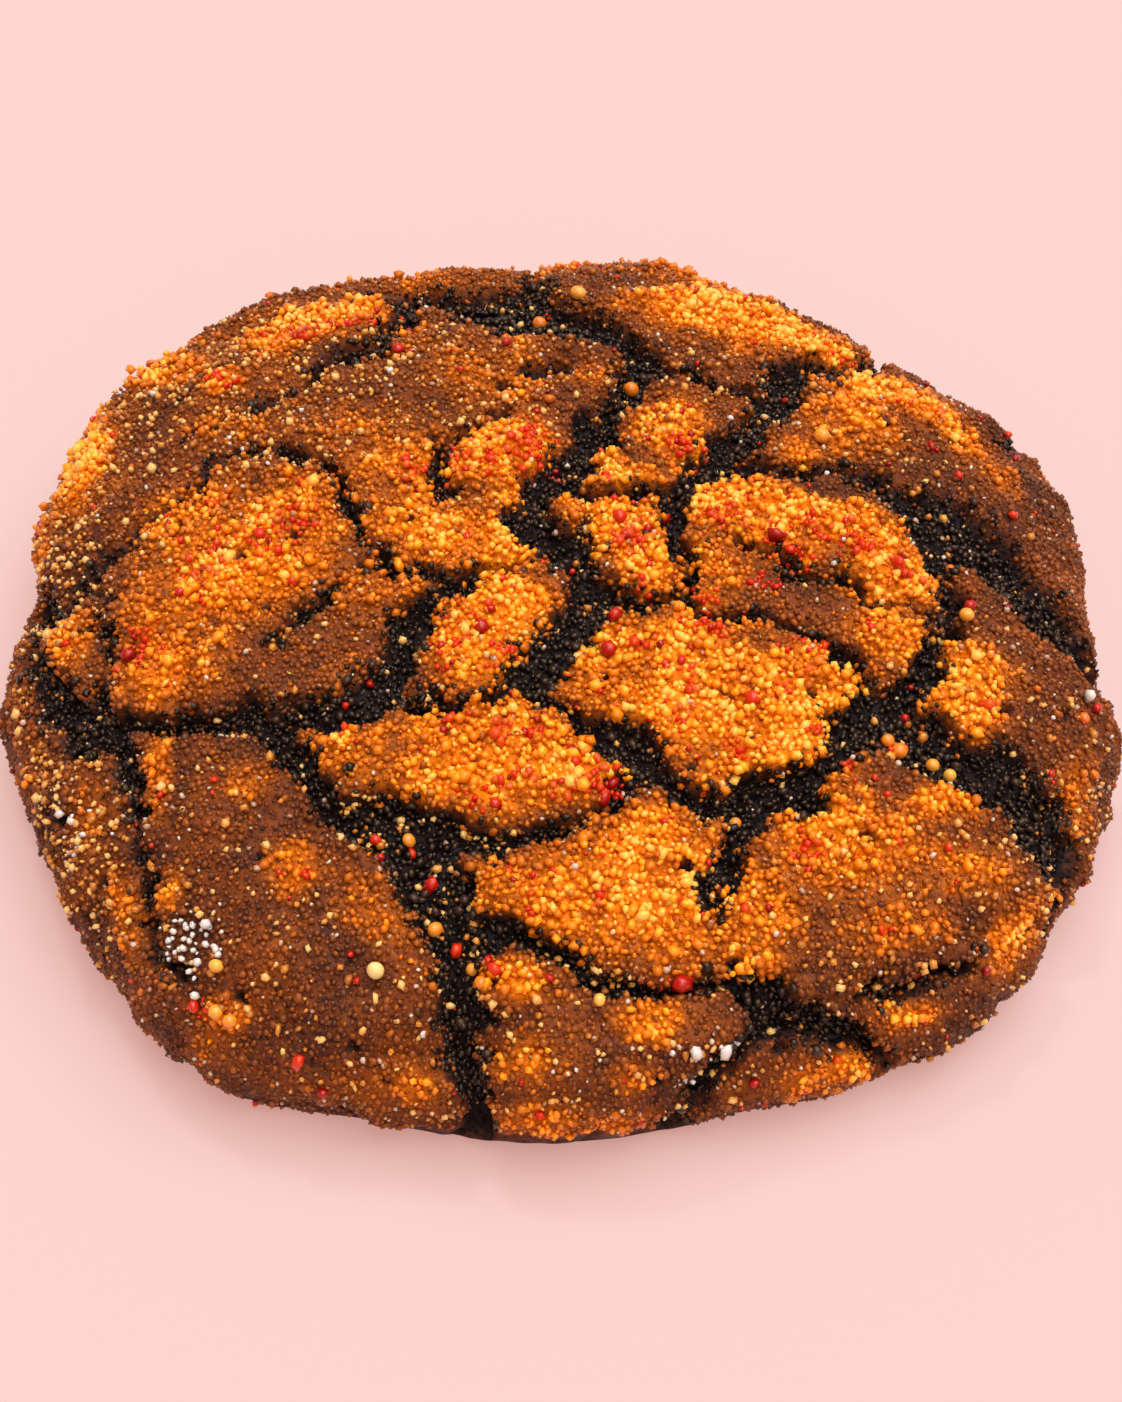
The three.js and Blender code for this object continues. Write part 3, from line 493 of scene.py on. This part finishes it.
def from_crack(x, y):
    """How far a place is from the nearest crack's frayed edge"""
    wx = add_clouds(x + RAG * waves(x, y, RAG_LENGTH, 1.3), x, y, FRAY, 11)
    wy = add_clouds(y + RAG * waves(x, y, RAG_LENGTH, 4.9), x, y, FRAY, 21)
    u = np.clip((wx + FIELD_REACH) / FIELD_STEP, 0, len(CRACK_FIELD) - 2)
    v = np.clip((wy + FIELD_REACH) / FIELD_STEP, 0, len(CRACK_FIELD) - 2)
    i, j = u.astype(int), v.astype(int)
    s, t = u - i, v - j
    near = CRACK_FIELD[i, j] * (1 - t) + CRACK_FIELD[i, j + 1] * t
    far = CRACK_FIELD[i + 1, j] * (1 - t) + CRACK_FIELD[i + 1, j + 1] * t
    gap = near * (1 - s) + far * s
    length, left, varies = RUBBLE_SPLITS
    return gap + rubble_at(x, y) * (np.minimum(gap, left + varies * cloud(x, y, length, 62)) - gap)


def pits():
    """Centres and radii of the small holes in the crust"""
    rng = np.random.default_rng(SEED + 1)
    way = np.sqrt(rng.uniform(0, 1, PIT_COUNT)) * MEAN_RADIUS * PIT_REACH
    bearing = rng.uniform(0, 2 * math.pi, PIT_COUNT)
    return way * np.cos(bearing), way * np.sin(bearing), rng.uniform(*PIT_RADIUS, PIT_COUNT)


PITS = pits()


def pit_depth(x, y):
    """How deep the nearest pit is at each place, from 0 to 1"""
    depth = np.zeros_like(x)
    for px, py, radius in zip(*PITS):
        near = (np.abs(x - px) < 2 * radius) & (np.abs(y - py) < 2 * radius)
        away = np.hypot(x[near] - px, y[near] - py) / radius
        depth[near] = np.maximum(depth[near], 1 - ramp(away, *PIT_WALL))
    return depth


def spots(x, y, patches):
    """The strongest of a list of oval patches at each place"""
    strength = np.zeros_like(x)
    for px, py, along, across, most, *tilt in patches:
        turn = math.radians(sum(tilt))
        c, s = math.cos(turn), math.sin(turn)
        u = ((x - px) * c + (y - py) * s) / along
        v = (-(x - px) * s + (y - py) * c) / across
        strength = np.maximum(strength, most * np.exp(-PATCH_FALL[0] * (u * u + v * v) ** PATCH_FALL[1]))
    return strength


def red_at(x, y):
    """How red the sugar is, from 0 to 1"""
    most, length = FAINT_RED
    faint = most * ramp(cloud(x, y, length, 91), *FAINT_NOISE) * ramp(glow_at(x, y), *FAINT_GLOW)
    return np.clip(spots(x, y, EMBERS) + faint, 0, 1)


def warmth(x, y):
    """How warm the brown of the crust is, from 0 to 1"""
    middle, right, back = WARMTH
    return np.clip(add_clouds(middle + right * x + back * y, x, y, WARMTH_UNEVEN, 81), 0, 1)


def glow_at(x, y):
    """How bright the crust is, from 0, dark brown, over orange at a half to 1, pale gold"""
    patches = [patch for group in SUGAR.values() for patch in group]
    known = spots(x, y, patches) - spots(x, y, BARE)
    length, amount, middle = BEHIND_SUGAR
    guessed = middle + amount * (cloud(x, y, length, 31) + cloud(x, y, length / 2, 32))
    behind = ramp(y + BEHIND_BEND * np.abs(x), *BEHIND)
    bright = np.clip(np.maximum(known * (1 - behind), guessed * behind), 0, MOST_SUGAR)
    brown = add_clouds(BROWN_GLOW + WARM_GLOW * warmth(x, y), x, y, BROWN_UNEVEN, 35)
    mottle = add_clouds(0, x, y, MOTTLE, 37)
    return np.clip(brown + (FULL_GLOW - brown) * bright + mottle * (BARE_MOTTLE + bright), 0, 1)


def rubble_at(x, y):
    """How broken the crust is, from 0 to 1"""
    broken = [most * (1 - ramp(np.hypot((x - px) / along, (y - py) / across), *RUBBLE_EDGE))
              for px, py, along, across, most in RUBBLE]
    return np.max(broken, axis=0)


def relief(x, y):
    """Height of the crust over the plain form"""
    gap = from_crack(x, y)
    crack = ramp(-gap, -CRACK_WALL[0], -CRACK_WALL[1])
    height = SWELL * waves(x, y, SWELL_LENGTH, 0.7)
    height = height - EDGE_DROP * np.exp(-np.maximum(gap, 0) / PLATE_ROUNDING) - CRACK_DEPTH * crack
    for n, ((length, amount), (clod_length, clod)) in enumerate(zip(KNOBS, CLODS)):
        height = height + (1 - crack) * amount * cloud(x, y, length, 41 + n)
        height = height + crack * clod * cloud(x, y, clod_length, 51 + n)
    length, width, depth = CREASES
    crease = 1 - ramp(np.abs(cloud(x, y, length, 45) + 0.3 * cloud(x, y, length / 3, 46)), 0, 2 * width)
    height = height - depth * crease * (1 - crack)
    height = height + rubble_at(x, y) * RUBBLE_LUMPS[1] * (cloud(x, y, RUBBLE_LUMPS[0], 61) - 0.5)
    return height - PIT_DEPTH * pit_depth(x, y) * (1 - crack)


def on_surface(x, y, lift=0):
    """Places on the finished surface, with the outward direction"""
    radius, height, out, up = plain(x, y)
    bearing = np.arctan2(y, x)
    raised = relief(x, y) * ramp(height, 0, FOOT_FADE) + lift
    reach = radius + out * raised
    place = np.stack([reach * np.cos(bearing) + MIDDLE[0], reach * np.sin(bearing) + MIDDLE[1],
                      height + up * raised], -1)
    return place, np.stack([out * np.cos(bearing), out * np.sin(bearing), up], -1)


# ---- Meshes ----
def add_object(name, data):
    """A new object, linked to the scene"""
    thing = bpy.data.objects.new(name, data)
    bpy.context.scene.collection.objects.link(thing)
    return thing


def make_mesh(name, corners, faces, **fields):
    """An object from arrays, in millimetres, with a number at each corner for each field"""
    mesh = bpy.data.meshes.new(name)
    mesh.vertices.add(len(corners))
    mesh.vertices.foreach_set("co", (corners * MM).astype(np.float32).ravel())
    mesh.loops.add(faces.size)
    mesh.loops.foreach_set("vertex_index", faces.astype(np.int32).ravel())
    mesh.polygons.add(len(faces))
    mesh.polygons.foreach_set("loop_start", np.arange(0, faces.size, 3, dtype=np.int32))
    mesh.polygons.foreach_set("use_smooth", np.ones(len(faces), bool))
    for key, values in fields.items():
        field = mesh.attributes.new(key, "FLOAT", "POINT")
        field.data.foreach_set("value", values.astype(np.float32))
    mesh.update(calc_edges=True)
    mesh.validate()
    return add_object(name, mesh)


def ring_places():
    """x and y along the crust of a mesh of rings, six more corners to each ring than to the last"""
    ring = np.concatenate([np.full(max(6 * k, 1), k) for k in range(RINGS + 1)])
    number = np.concatenate([np.arange(max(6 * k, 1)) for k in range(RINGS + 1)])
    bearing = 2 * math.pi * number / np.maximum(6 * ring, 1)
    way = REACH * ring / RINGS * rim_radius(bearing)
    return way * np.cos(bearing), way * np.sin(bearing)


def ring_faces():
    """The faces between those rings"""
    faces = []
    for ring in range(1, RINGS + 1):
        start = 1 + 3 * ring * (ring - 1)
        inner_start = 1 + 3 * (ring - 1) * (ring - 2) if ring > 1 else 0
        inner_count = max(6 * (ring - 1), 1)
        side, i = np.divmod(np.arange(6 * ring), ring)
        outer = start + np.arange(6 * ring)
        next_outer = start + (np.arange(6 * ring) + 1) % (6 * ring)
        inner = inner_start + (side * (ring - 1) + i) % inner_count
        faces.append(np.stack([outer, next_outer, inner], -1))
        within = i < ring - 1
        next_inner = inner_start + (side * (ring - 1) + i + 1) % inner_count
        faces.append(np.stack([inner, next_outer, next_inner], -1)[within])
    return np.concatenate(faces)


def base_rings(foot, first):
    """Rings from the foot to the middle of the underside, which is flat apart from shallow dimples"""
    count = len(foot)
    corners, faces = [], []
    outer = np.arange(first - count, first)
    for ring in range(1, BASE_RINGS):
        place = foot * [[1 - ring / BASE_RINGS, 1 - ring / BASE_RINGS, 0]]
        x, y, _ = place.T
        dimple = np.maximum(add_clouds(0, x, y, DIMPLE_SHAPE, 71), 0)
        place[:, 2] = DIMPLE * dimple * min(ring, BASE_RINGS - ring, 3) / 3
        corners.append(place)
        inner = first + (ring - 1) * count + np.arange(count)
        faces.append(np.stack([np.roll(outer, -1), outer, inner], -1))
        faces.append(np.stack([np.roll(outer, -1), inner, np.roll(inner, -1)], -1))
        outer = inner
    corners.append(np.array([[MIDDLE[0], MIDDLE[1], 0.0]]))
    centre = np.full(count, first + (BASE_RINGS - 1) * count)
    faces.append(np.stack([np.roll(outer, -1), outer, centre], -1))
    return np.concatenate(corners), np.concatenate(faces)


def make_core():
    x, y = ring_places()
    top, _ = on_surface(x, y)
    top[-6 * RINGS:, 2] = 0
    base, base_faces = base_rings(top[-6 * RINGS:], len(top))
    gap = from_crack(x, y)
    crack = np.maximum(ramp(-gap, *CRACK_FADE), pit_depth(x, y))
    flat = np.zeros(len(base))
    return make_mesh(
        "crust", np.concatenate([top, base]), np.concatenate([ring_faces(), base_faces]),
        crack=np.concatenate([crack, flat]),
        tone=np.concatenate([glow_at(x, y) * (1 - crack) * ramp(top[:, 2], 0, FOOT_DARK), flat + BASE_TONE]),
    )


# ---- Grains ----
def hull(corners):
    """The faces of a small rounded lump, each as three corners in order from outside"""
    faces = []
    slack = 1e-6
    for i, j, k in itertools.combinations(range(len(corners)), 3):
        normal = np.cross(corners[j] - corners[i], corners[k] - corners[i])
        side = (corners - corners[i]) @ normal
        if side.max() < slack:
            faces.append((i, j, k))
        elif side.min() > -slack:
            faces.append((i, k, j))
    return np.array(faces)


def ball():
    """The 12 corners of an icosahedron of radius 1"""
    golden = (1 + 5 ** 0.5) / 2
    corners = [(s, t * golden, 0) for s in (-1, 1) for t in (-1, 1)]
    corners += [(0, s, t * golden) for s in (-1, 1) for t in (-1, 1)]
    corners += [(s * golden, 0, t) for t in (-1, 1) for s in (-1, 1)]
    return np.array(corners, float) / math.hypot(1, golden)


def lump():
    """The 9 corners of a ball with 14 faces: two triangles, and three corners round its waist"""
    corners = []
    for lean, first in ((-LUMP_LEAN, 0), (LUMP_LEAN, 0), (0, 60)):
        across, up = math.cos(math.radians(lean)), math.sin(math.radians(lean))
        for turn in (first, first + 120, first + 240):
            angle = math.radians(turn)
            corners.append((across * math.cos(angle), across * math.sin(angle), up))
    return np.array(corners)


BALL = ball()
LUMP = lump()


def turns(count, rng):
    """Random turns as matrices"""
    w, x, y, z = rng.normal(size=(4, count))
    norm = np.sqrt(w * w + x * x + y * y + z * z)
    w, x, y, z = w / norm, x / norm, y / norm, z / norm
    rows = [
        [1 - 2 * (y * y + z * z), 2 * (x * y - z * w), 2 * (x * z + y * w)],
        [2 * (x * y + z * w), 1 - 2 * (x * x + z * z), 2 * (y * z - x * w)],
        [2 * (x * z - y * w), 2 * (y * z + x * w), 1 - 2 * (x * x + y * y)],
    ]
    return np.moveaxis(np.array(rows), 2, 0)


def make_grains(name, kind, x, y, size, rng, shape=LUMP, rough=ROUGH, flat=FLAT, painted_top_light=0, **fields):
    """One piece of many grains: uneven lumps, stretched at random and sunk a little in what they lie on

    painted_top_light is how much the tone rises from a grain's middle to its top: painted light on its top,
    and painted shade below its middle.
    """
    _, sink, heap = GRAINS[kind]
    steep = 1 - ramp(plain(x, y)[3], 0, FLANK)
    size = size * (1 - FLANK_SMALLER * steep)
    lift = size * (0.5 - sink - FLANK_SUNK * steep + heap * (1 - steep) * rng.normal(size=len(x)))
    middle, outward = on_surface(x, y, lift)
    keep = middle[:, 2] > np.maximum(LOWEST, size / 2) + FOOT_BARE * rng.uniform(0, 1, len(x))
    middle, size, count, sides = middle[keep], size[keep], int(keep.sum()), len(shape)
    grains = shape[None] * (1 + rough * rng.uniform(-1, 1, (count, sides, 1)))
    grains = grains * (1 + flat * rng.uniform(-1, 1, (count, 1, 3)))
    grains = np.einsum("nij,nkj->nki", turns(count, rng), grains) * size[:, None, None] / 2
    corners = (grains + middle[:, None]).reshape(-1, 3)
    faces = (hull(shape)[None] + sides * np.arange(count)[:, None, None]).reshape(-1, 3)
    spread = {key: np.repeat(values[keep], sides) for key, values in fields.items()}
    # painted light and shade: each corner's tone rises with its height in the grain
    height = np.einsum("nij,nj->ni", grains, outward[keep]) / size[:, None] * 2
    spread["tone"] = spread["tone"] + painted_top_light * height.ravel()
    return make_mesh(name, corners, faces, **spread)


def sites(step, rng):
    """Places for grains: a jittered hexagonal grid over the crust, thinned where the flat map is stretched"""
    reach = REACH * max(RIM_RADII)
    line = np.arange(-reach, reach, step)
    x, y = np.meshgrid(line, line * math.sqrt(0.75), indexing="ij")
    x = x + 0.5 * step * (np.arange(len(line)) % 2)[None]
    x = (x + rng.uniform(-GRAIN_JITTER, GRAIN_JITTER, x.shape)).ravel()
    y = (y + rng.uniform(-GRAIN_JITTER, GRAIN_JITTER, y.shape)).ravel()
    radius, height, _, _ = plain(x, y)
    way = np.hypot(x, y)
    on_crust = way < REACH * rim_radius(np.arctan2(y, x))
    kept = on_crust & (rng.uniform(0, 1, len(x)) < radius / np.maximum(way, 1))
    return x[kept], y[kept]


def all_sites(rng):
    """Places for grains over the whole crust, and further ones along the cracks' walls"""
    x, y = sites(GRAIN_STEP, rng)
    edge_x, edge_y = sites(EDGE_STEP, rng)
    gap = from_crack(edge_x, edge_y)
    edge = (gap < CRACK_WALL[0]) & (gap > CRACK_WALL[1])
    return np.concatenate([x, edge_x[edge]]), np.concatenate([y, edge_y[edge]])


def sort_sites(x, y, rng):
    """Which kind of grain goes at each place, and each grain's tone"""
    glow = glow_at(x, y)
    tone = glow + (TONE_SPREAD[0] + TONE_SPREAD[1] * glow) * rng.normal(size=len(x))
    tone = tone + PALE_STEP * (rng.uniform(0, 1, len(x)) < PALE_SHARE * glow ** 3)
    chance = rng.uniform(0, 1, len(x))
    edge = SUGAR_ENDS + EDGE_SCATTER * rng.normal(size=len(x))
    crumb = (from_crack(x, y) < edge) | (pit_depth(x, y) > PIT_CRUMB)
    kinds = {kind: ~crumb & (tone > low) & (tone <= high) for kind, (low, high) in TONE_ENDS.items()}
    kinds["crumb"] = crumb
    kinds = {kind: here & (chance < SHARES[kind]) for kind, here in kinds.items()}
    strewn = (LOOSE_SHARE + CLUMP_SHARE * spots(x, y, CLUMPS)) * crumb + spots(x, y, STREWN) * ~crumb
    kinds["loose"] = rng.uniform(0, 1, len(x)) < strewn
    return kinds, tone


def sized(kind, count, rng):
    """Random sizes for one kind of grain"""
    return GRAINS[kind][0] * np.exp(SIZE_SPREAD * np.clip(rng.normal(size=count), *SIZE_ENDS))


def scattered(x, y, kinds, count, weights, patches, rng):
    """A random choice of places for small crystals"""
    weight, by_kind, in_patches = weights
    for kind, more in by_kind.items():
        weight = weight + more * kinds[kind]
    weight = weight + in_patches * spots(x, y, patches)
    order = rng.uniform(0, 1, len(x)) ** (1 / np.maximum(weight, 1e-6))
    chosen = np.argsort(-order)[:count]
    return x[chosen], y[chosen]


# ---- Materials ----
def new_material(name):
    """A material, with its node tree and its shader"""
    material = bpy.data.materials.new(name)
    material.use_nodes = True
    shader = material.node_tree.nodes["Principled BSDF"]
    return material, material.node_tree, shader


def field_node(tree, name):
    """One of the mesh's fields"""
    node = tree.nodes.new("ShaderNodeAttribute")
    node.attribute_name = name
    return node.outputs["Fac"]


def pattern_node(tree, kind, per_mm):
    """A pattern with about per_mm bumps to a millimetre, in the object's own place"""
    place = tree.nodes.new("ShaderNodeTexCoord")
    node = tree.nodes.new(kind)
    node.inputs["Scale"].default_value = per_mm / MM
    tree.links.new(place.outputs["Object"], node.inputs["Vector"])
    return node


def noise_node(tree, per_mm, detail=3):
    node = pattern_node(tree, "ShaderNodeTexNoise", per_mm)
    set_inputs(node, {"Detail": detail, "Roughness": 0.6})
    return node.outputs["Fac"]


def pebbles(tree, per_mm):
    """Packed pebbles: how far a point is from one's middle, and a random number for each"""
    node = pattern_node(tree, "ShaderNodeTexVoronoi", per_mm)
    split = tree.nodes.new("ShaderNodeSeparateColor")
    tree.links.new(node.outputs["Color"], split.inputs["Color"])
    return node.outputs["Distance"], split.outputs["Red"]


def colour_ramp(tree, value, stops):
    node = tree.nodes.new("ShaderNodeValToRGB")
    elements = node.color_ramp.elements
    while len(elements) < len(stops):
        elements.new(0.5)
    for element, (place, colour) in zip(elements, stops):
        element.position = place
        element.color = (*colour, 1)
    tree.links.new(value, node.inputs["Fac"])
    return node.outputs["Color"]


def set_inputs(node, values):
    """Sets a node's inputs by their names"""
    for name, value in values.items():
        node.inputs[name].default_value = value


def put(tree, value, socket):
    """Gives a socket a number, a colour or another node's output"""
    if isinstance(value, bpy.types.NodeSocket):
        tree.links.new(value, socket)
    else:
        socket.default_value = (*value, 1) if isinstance(value, tuple) else value


def mixed(tree, share, first, second):
    """A colour between two: each is a colour or an output"""
    node = tree.nodes.new("ShaderNodeMix")
    node.data_type = "RGBA"
    sockets = [s for s in node.inputs if s.type == "RGBA"]
    for socket, value in zip(sockets, (first, second)):
        put(tree, value, socket)
    tree.links.new(share, node.inputs[0])
    return next(s for s in node.outputs if s.type == "RGBA")


def math_node(tree, operation, first, second):
    node = tree.nodes.new("ShaderNodeMath")
    node.operation = operation
    node.use_clamp = True
    for socket, value in zip(node.inputs, (first, second)):
        put(tree, value, socket)
    return node.outputs[0]


def stained(tree, colour):
    """A colour with the red stain over it"""
    return mixed(tree, field_node(tree, "red"), colour, STAIN)


def add_bump(tree, shader, value, depth):
    """Bumps of a given depth in millimetres"""
    node = tree.nodes.new("ShaderNodeBump")
    node.inputs["Distance"].default_value = depth * MM
    tree.links.new(value, node.inputs["Height"])
    tree.links.new(node.outputs["Normal"], shader.inputs["Normal"])


def crust_material():
    """The crust under the grains, and near-black crumb in the cracks"""
    material, tree, shader = new_material("crust")
    uneven = math_node(tree, "MULTIPLY", noise_node(tree, CRUST_NOISE[0], 4), CRUST_NOISE[1])
    near, pebble = pebbles(tree, CRUST_PEBBLES[0])
    uneven = math_node(tree, "ADD", uneven, math_node(tree, "MULTIPLY", pebble, CRUST_PEBBLES[1]))
    tone = math_node(tree, "ADD", field_node(tree, "tone"), uneven)
    tone = math_node(tree, "SUBTRACT", tone, CRUST_DARKER)
    plate = colour_ramp(tree, tone, SUGAR_STOPS)
    crumb = colour_ramp(tree, noise_node(tree, CRUST_NOISE[0]), CRACK_STOPS)
    tree.links.new(mixed(tree, field_node(tree, "crack"), plate, crumb), shader.inputs["Base Color"])
    set_inputs(shader, {"Roughness": 0.5, "Specular IOR Level": 0.1})
    bump = math_node(tree, "SUBTRACT", noise_node(tree, CRUST_BUMP[0], 4), near)
    add_bump(tree, shader, bump, CRUST_BUMP[1])
    return material


def grain_material(name, stops, tint=(1, 1, 1), roughness=0.25, coat=0.5, depth=0.0, painted_glow=0.0, red=False):
    """A glassy grain whose colour comes from its own tone

    depth is how far light goes in, in millimetres, and painted_glow is the strength of a painted glow: the
    grain gives off its own colour, which lightens its shade as if light came back out of it.
    """
    material, tree, shader = new_material(name)
    per_mm, amount = GRAIN_NOISE
    uneven = math_node(tree, "MULTIPLY", noise_node(tree, per_mm), amount)
    tone = math_node(tree, "ADD", field_node(tree, "tone"), uneven)
    tone = math_node(tree, "SUBTRACT", tone, amount / 2)
    colour = colour_ramp(tree, tone, stops)
    colour = stained(tree, colour) if red else colour
    tree.links.new(colour, shader.inputs["Base Color"])
    set_inputs(shader, {"Roughness": roughness, "Specular IOR Level": 0.4, "Specular Tint": (*tint, 1),
                        "Coat Weight": coat, "Coat Roughness": 0.08})
    # painted glow: the grain gives off its own colour, lightening the shade between grains
    if painted_glow:
        tree.links.new(colour, shader.inputs["Emission Color"])
        set_inputs(shader, {"Emission Strength": painted_glow})
    if depth:
        set_inputs(shader, {"Subsurface Weight": 0.5, "Subsurface Scale": depth * MM,
                            "Subsurface Radius": (1, 0.5, 0.2)})
    add_bump(tree, shader, noise_node(tree, GRAIN_BUMP[0]), GRAIN_BUMP[1])
    return material


# ---- The cookie ----
def dress(piece, material):
    piece.data.materials.append(material)
    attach(piece, "root")
    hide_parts("cookie")


def reddened(x, y, rng):
    """How red each grain is: some are stained, and the others only tinged"""
    red = red_at(x, y)
    chosen = rng.uniform(0, 1, len(x)) < red
    return np.where(chosen, STAINED[0] + STAINED[1] * rng.uniform(0, 1, len(x)), TINGED * red)


def make_sugared_crust():
    """All the grains, one piece to each kind"""
    rng = np.random.default_rng(SEED)
    x, y = all_sites(rng)
    kinds, tone = sort_sites(x, y, rng)
    # painted_glow below is a painted glow in each grain's own colour
    looks = {
        "gold": grain_material("gold_sugar", SUGAR_STOPS, WARM, coat=0.35, depth=0.25, painted_glow=0.12, red=True),
        "orange": grain_material("orange_sugar", SUGAR_STOPS, WARM, coat=0.35, depth=0.2, painted_glow=0.1, red=True),
        "russet": grain_material("russet_sugar", SUGAR_STOPS, WARM, 0.32, 0.2, red=True),
        "brown": grain_material("brown_sugar", SUGAR_STOPS, WARM, 0.38, 0.15, red=True),
        "crumb": grain_material("crumb", CRUMB_STOPS, WARM, 0.35, 0.25),
        "loose": grain_material("loose_sugar", LOOSE_STOPS, WARM, depth=0.2, painted_glow=0.08, red=True),
    }
    for kind, here in kinds.items():
        count = int(here.sum())
        tones = rng.uniform(0, 1, count) if kind in ("crumb", "loose") else tone[here]
        red = reddened(x[here], y[here], rng)
        rough = CRUMB_ROUGH if kind == "crumb" else ROUGH
        # painted_top_light paints each grain's top paler and its lower half darker
        grains = make_grains(kind + "_grains", kind, x[here], y[here], sized(kind, count, rng), rng,
                             rough=rough, painted_top_light=PAINTED_TOP_LIGHT[kind], tone=tones, red=red)
        dress(grains, looks[kind])
    make_red(x, y, kinds, rng)
    make_white(x, y, kinds, rng)
    make_beads(rng)


def make_red(x, y, kinds, rng):
    """The named red crystals, and small ones that are mostly among the gold"""
    sx, sy = scattered(x, y, kinds, RED_COUNT, RED_WEIGHTS, EMBERS, rng)
    big = np.array(REDS).T
    size = np.concatenate([big[2], sized("red", RED_COUNT, rng)])
    tone = rng.uniform(0.1, 0.9, len(size))
    x, y = np.hstack([big[:2], [sx, sy]])
    # painted light on each red crystal's top, and painted shade below
    grains = make_grains("red_crystals", "red", x, y, RED_SIZE * size, rng, BALL, painted_top_light=0.25, tone=tone)
    dress(grains, grain_material("red_sugar", RED_STOPS, WARM, depth=0.3, painted_glow=0.08))


def make_white(x, y, kinds, rng):
    """The named white crystals, and small pale specks, partly white sugar and partly painted glints, that are
    whiter where they lie close together
    """
    # the small specks are partly white sugar and partly painted glints
    sx, sy = scattered(x, y, kinds, WHITE_AND_GLINT_COUNT, WHITE_AND_GLINT_WEIGHTS, FROST, rng)
    big = np.array(WHITES).T
    small = sized("white", WHITE_AND_GLINT_COUNT, rng) * (1 + 0.4 * spots(sx, sy, FROST))
    size = np.concatenate([WHITE_SIZE * big[2], small])
    frosted = ramp(spots(sx, sy, FROST), 0.1, 0.5)
    greyed = rng.uniform(0.2, 0.9, WHITE_AND_GLINT_COUNT)
    tone = np.concatenate([np.ones(len(WHITES)), greyed + (0.95 - greyed) * frosted])
    x, y = np.hstack([big[:2], [sx, sy]])
    grains = make_grains("white_crystals_and_glints", "white", x, y, size, rng, BALL, tone=tone)
    dress(grains, grain_material("white_sugar_and_glints", WHITE_AND_GLINT_STOPS, depth=0.4))


def make_beads(rng):
    """The large beads, rounder than the other grains"""
    x, y, size, tone = np.array(BEADS).T
    grains = make_grains("beads", "red", x, y, size, rng, BALL, rough=0.06, flat=0.12, tone=tone)
    smooth = grains.modifiers.new("round", "SUBSURF")
    smooth.levels = smooth.render_levels = 2
    dress(grains, grain_material("bead_sugar", BEAD_STOPS, depth=0.4))


# ---- Stage ----
def make_floor():
    side = FLOOR_SIDE / 2
    corners = np.array([(-side, -side, 0), (side, -side, 0), (side, side, 0), (-side, side, 0)], float)
    floor = make_mesh("floor", corners, np.array([(0, 1, 2), (0, 2, 3)]))
    material, _, shader = new_material("floor")
    set_inputs(shader, {"Base Color": (*FLOOR_COLOUR, 1), "Emission Color": (*FLOOR_GLOW, 1),
                        "Emission Strength": 1, "Roughness": 0.9, "Specular IOR Level": 0.1})
    floor.data.materials.append(material)
    floor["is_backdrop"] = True


def make_lights():
    world = bpy.data.worlds.new("studio")
    bpy.context.scene.world = world
    world.use_nodes = True
    world.node_tree.nodes["Background"].inputs["Color"].default_value = (*FILL, 1)
    for name, (strength, softness, *angles) in LIGHTS.items():
        light = bpy.data.lights.new(name, "SUN")
        light.energy = strength
        light.angle = math.radians(softness)
        bearing, tilt = map(math.radians, angles)
        across = math.sin(tilt)
        source = Vector((math.sin(bearing) * across, math.cos(bearing) * across, math.cos(tilt)))
        add_object(name, light).rotation_euler = source.to_track_quat("Z", "Y").to_euler()


def make_camera():
    camera = add_object("camera", bpy.data.cameras.new("camera"))
    camera.data.lens = LENS
    tilt = math.radians(ELEVATION)
    target = Vector(LOOK_AT) + Vector((*MIDDLE, 0))
    back = Vector((0, -math.cos(tilt), math.sin(tilt)))
    camera.location = (target + back * DISTANCE) * MM
    camera.rotation_euler = back.to_track_quat("Z", "Y").to_euler()
    camera.data.clip_start = MM
    bpy.context.scene.camera = camera


make_camera()
make_lights()
make_floor()
bpy.context.scene.view_settings.view_transform = "Standard"

dress(make_core(), crust_material())
make_sugared_crust()

boxes = {"cad": CAD_BOX, "visual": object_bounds()}
{name: [list(map(float, corner)) for corner in box] for name, box in boxes.items()}
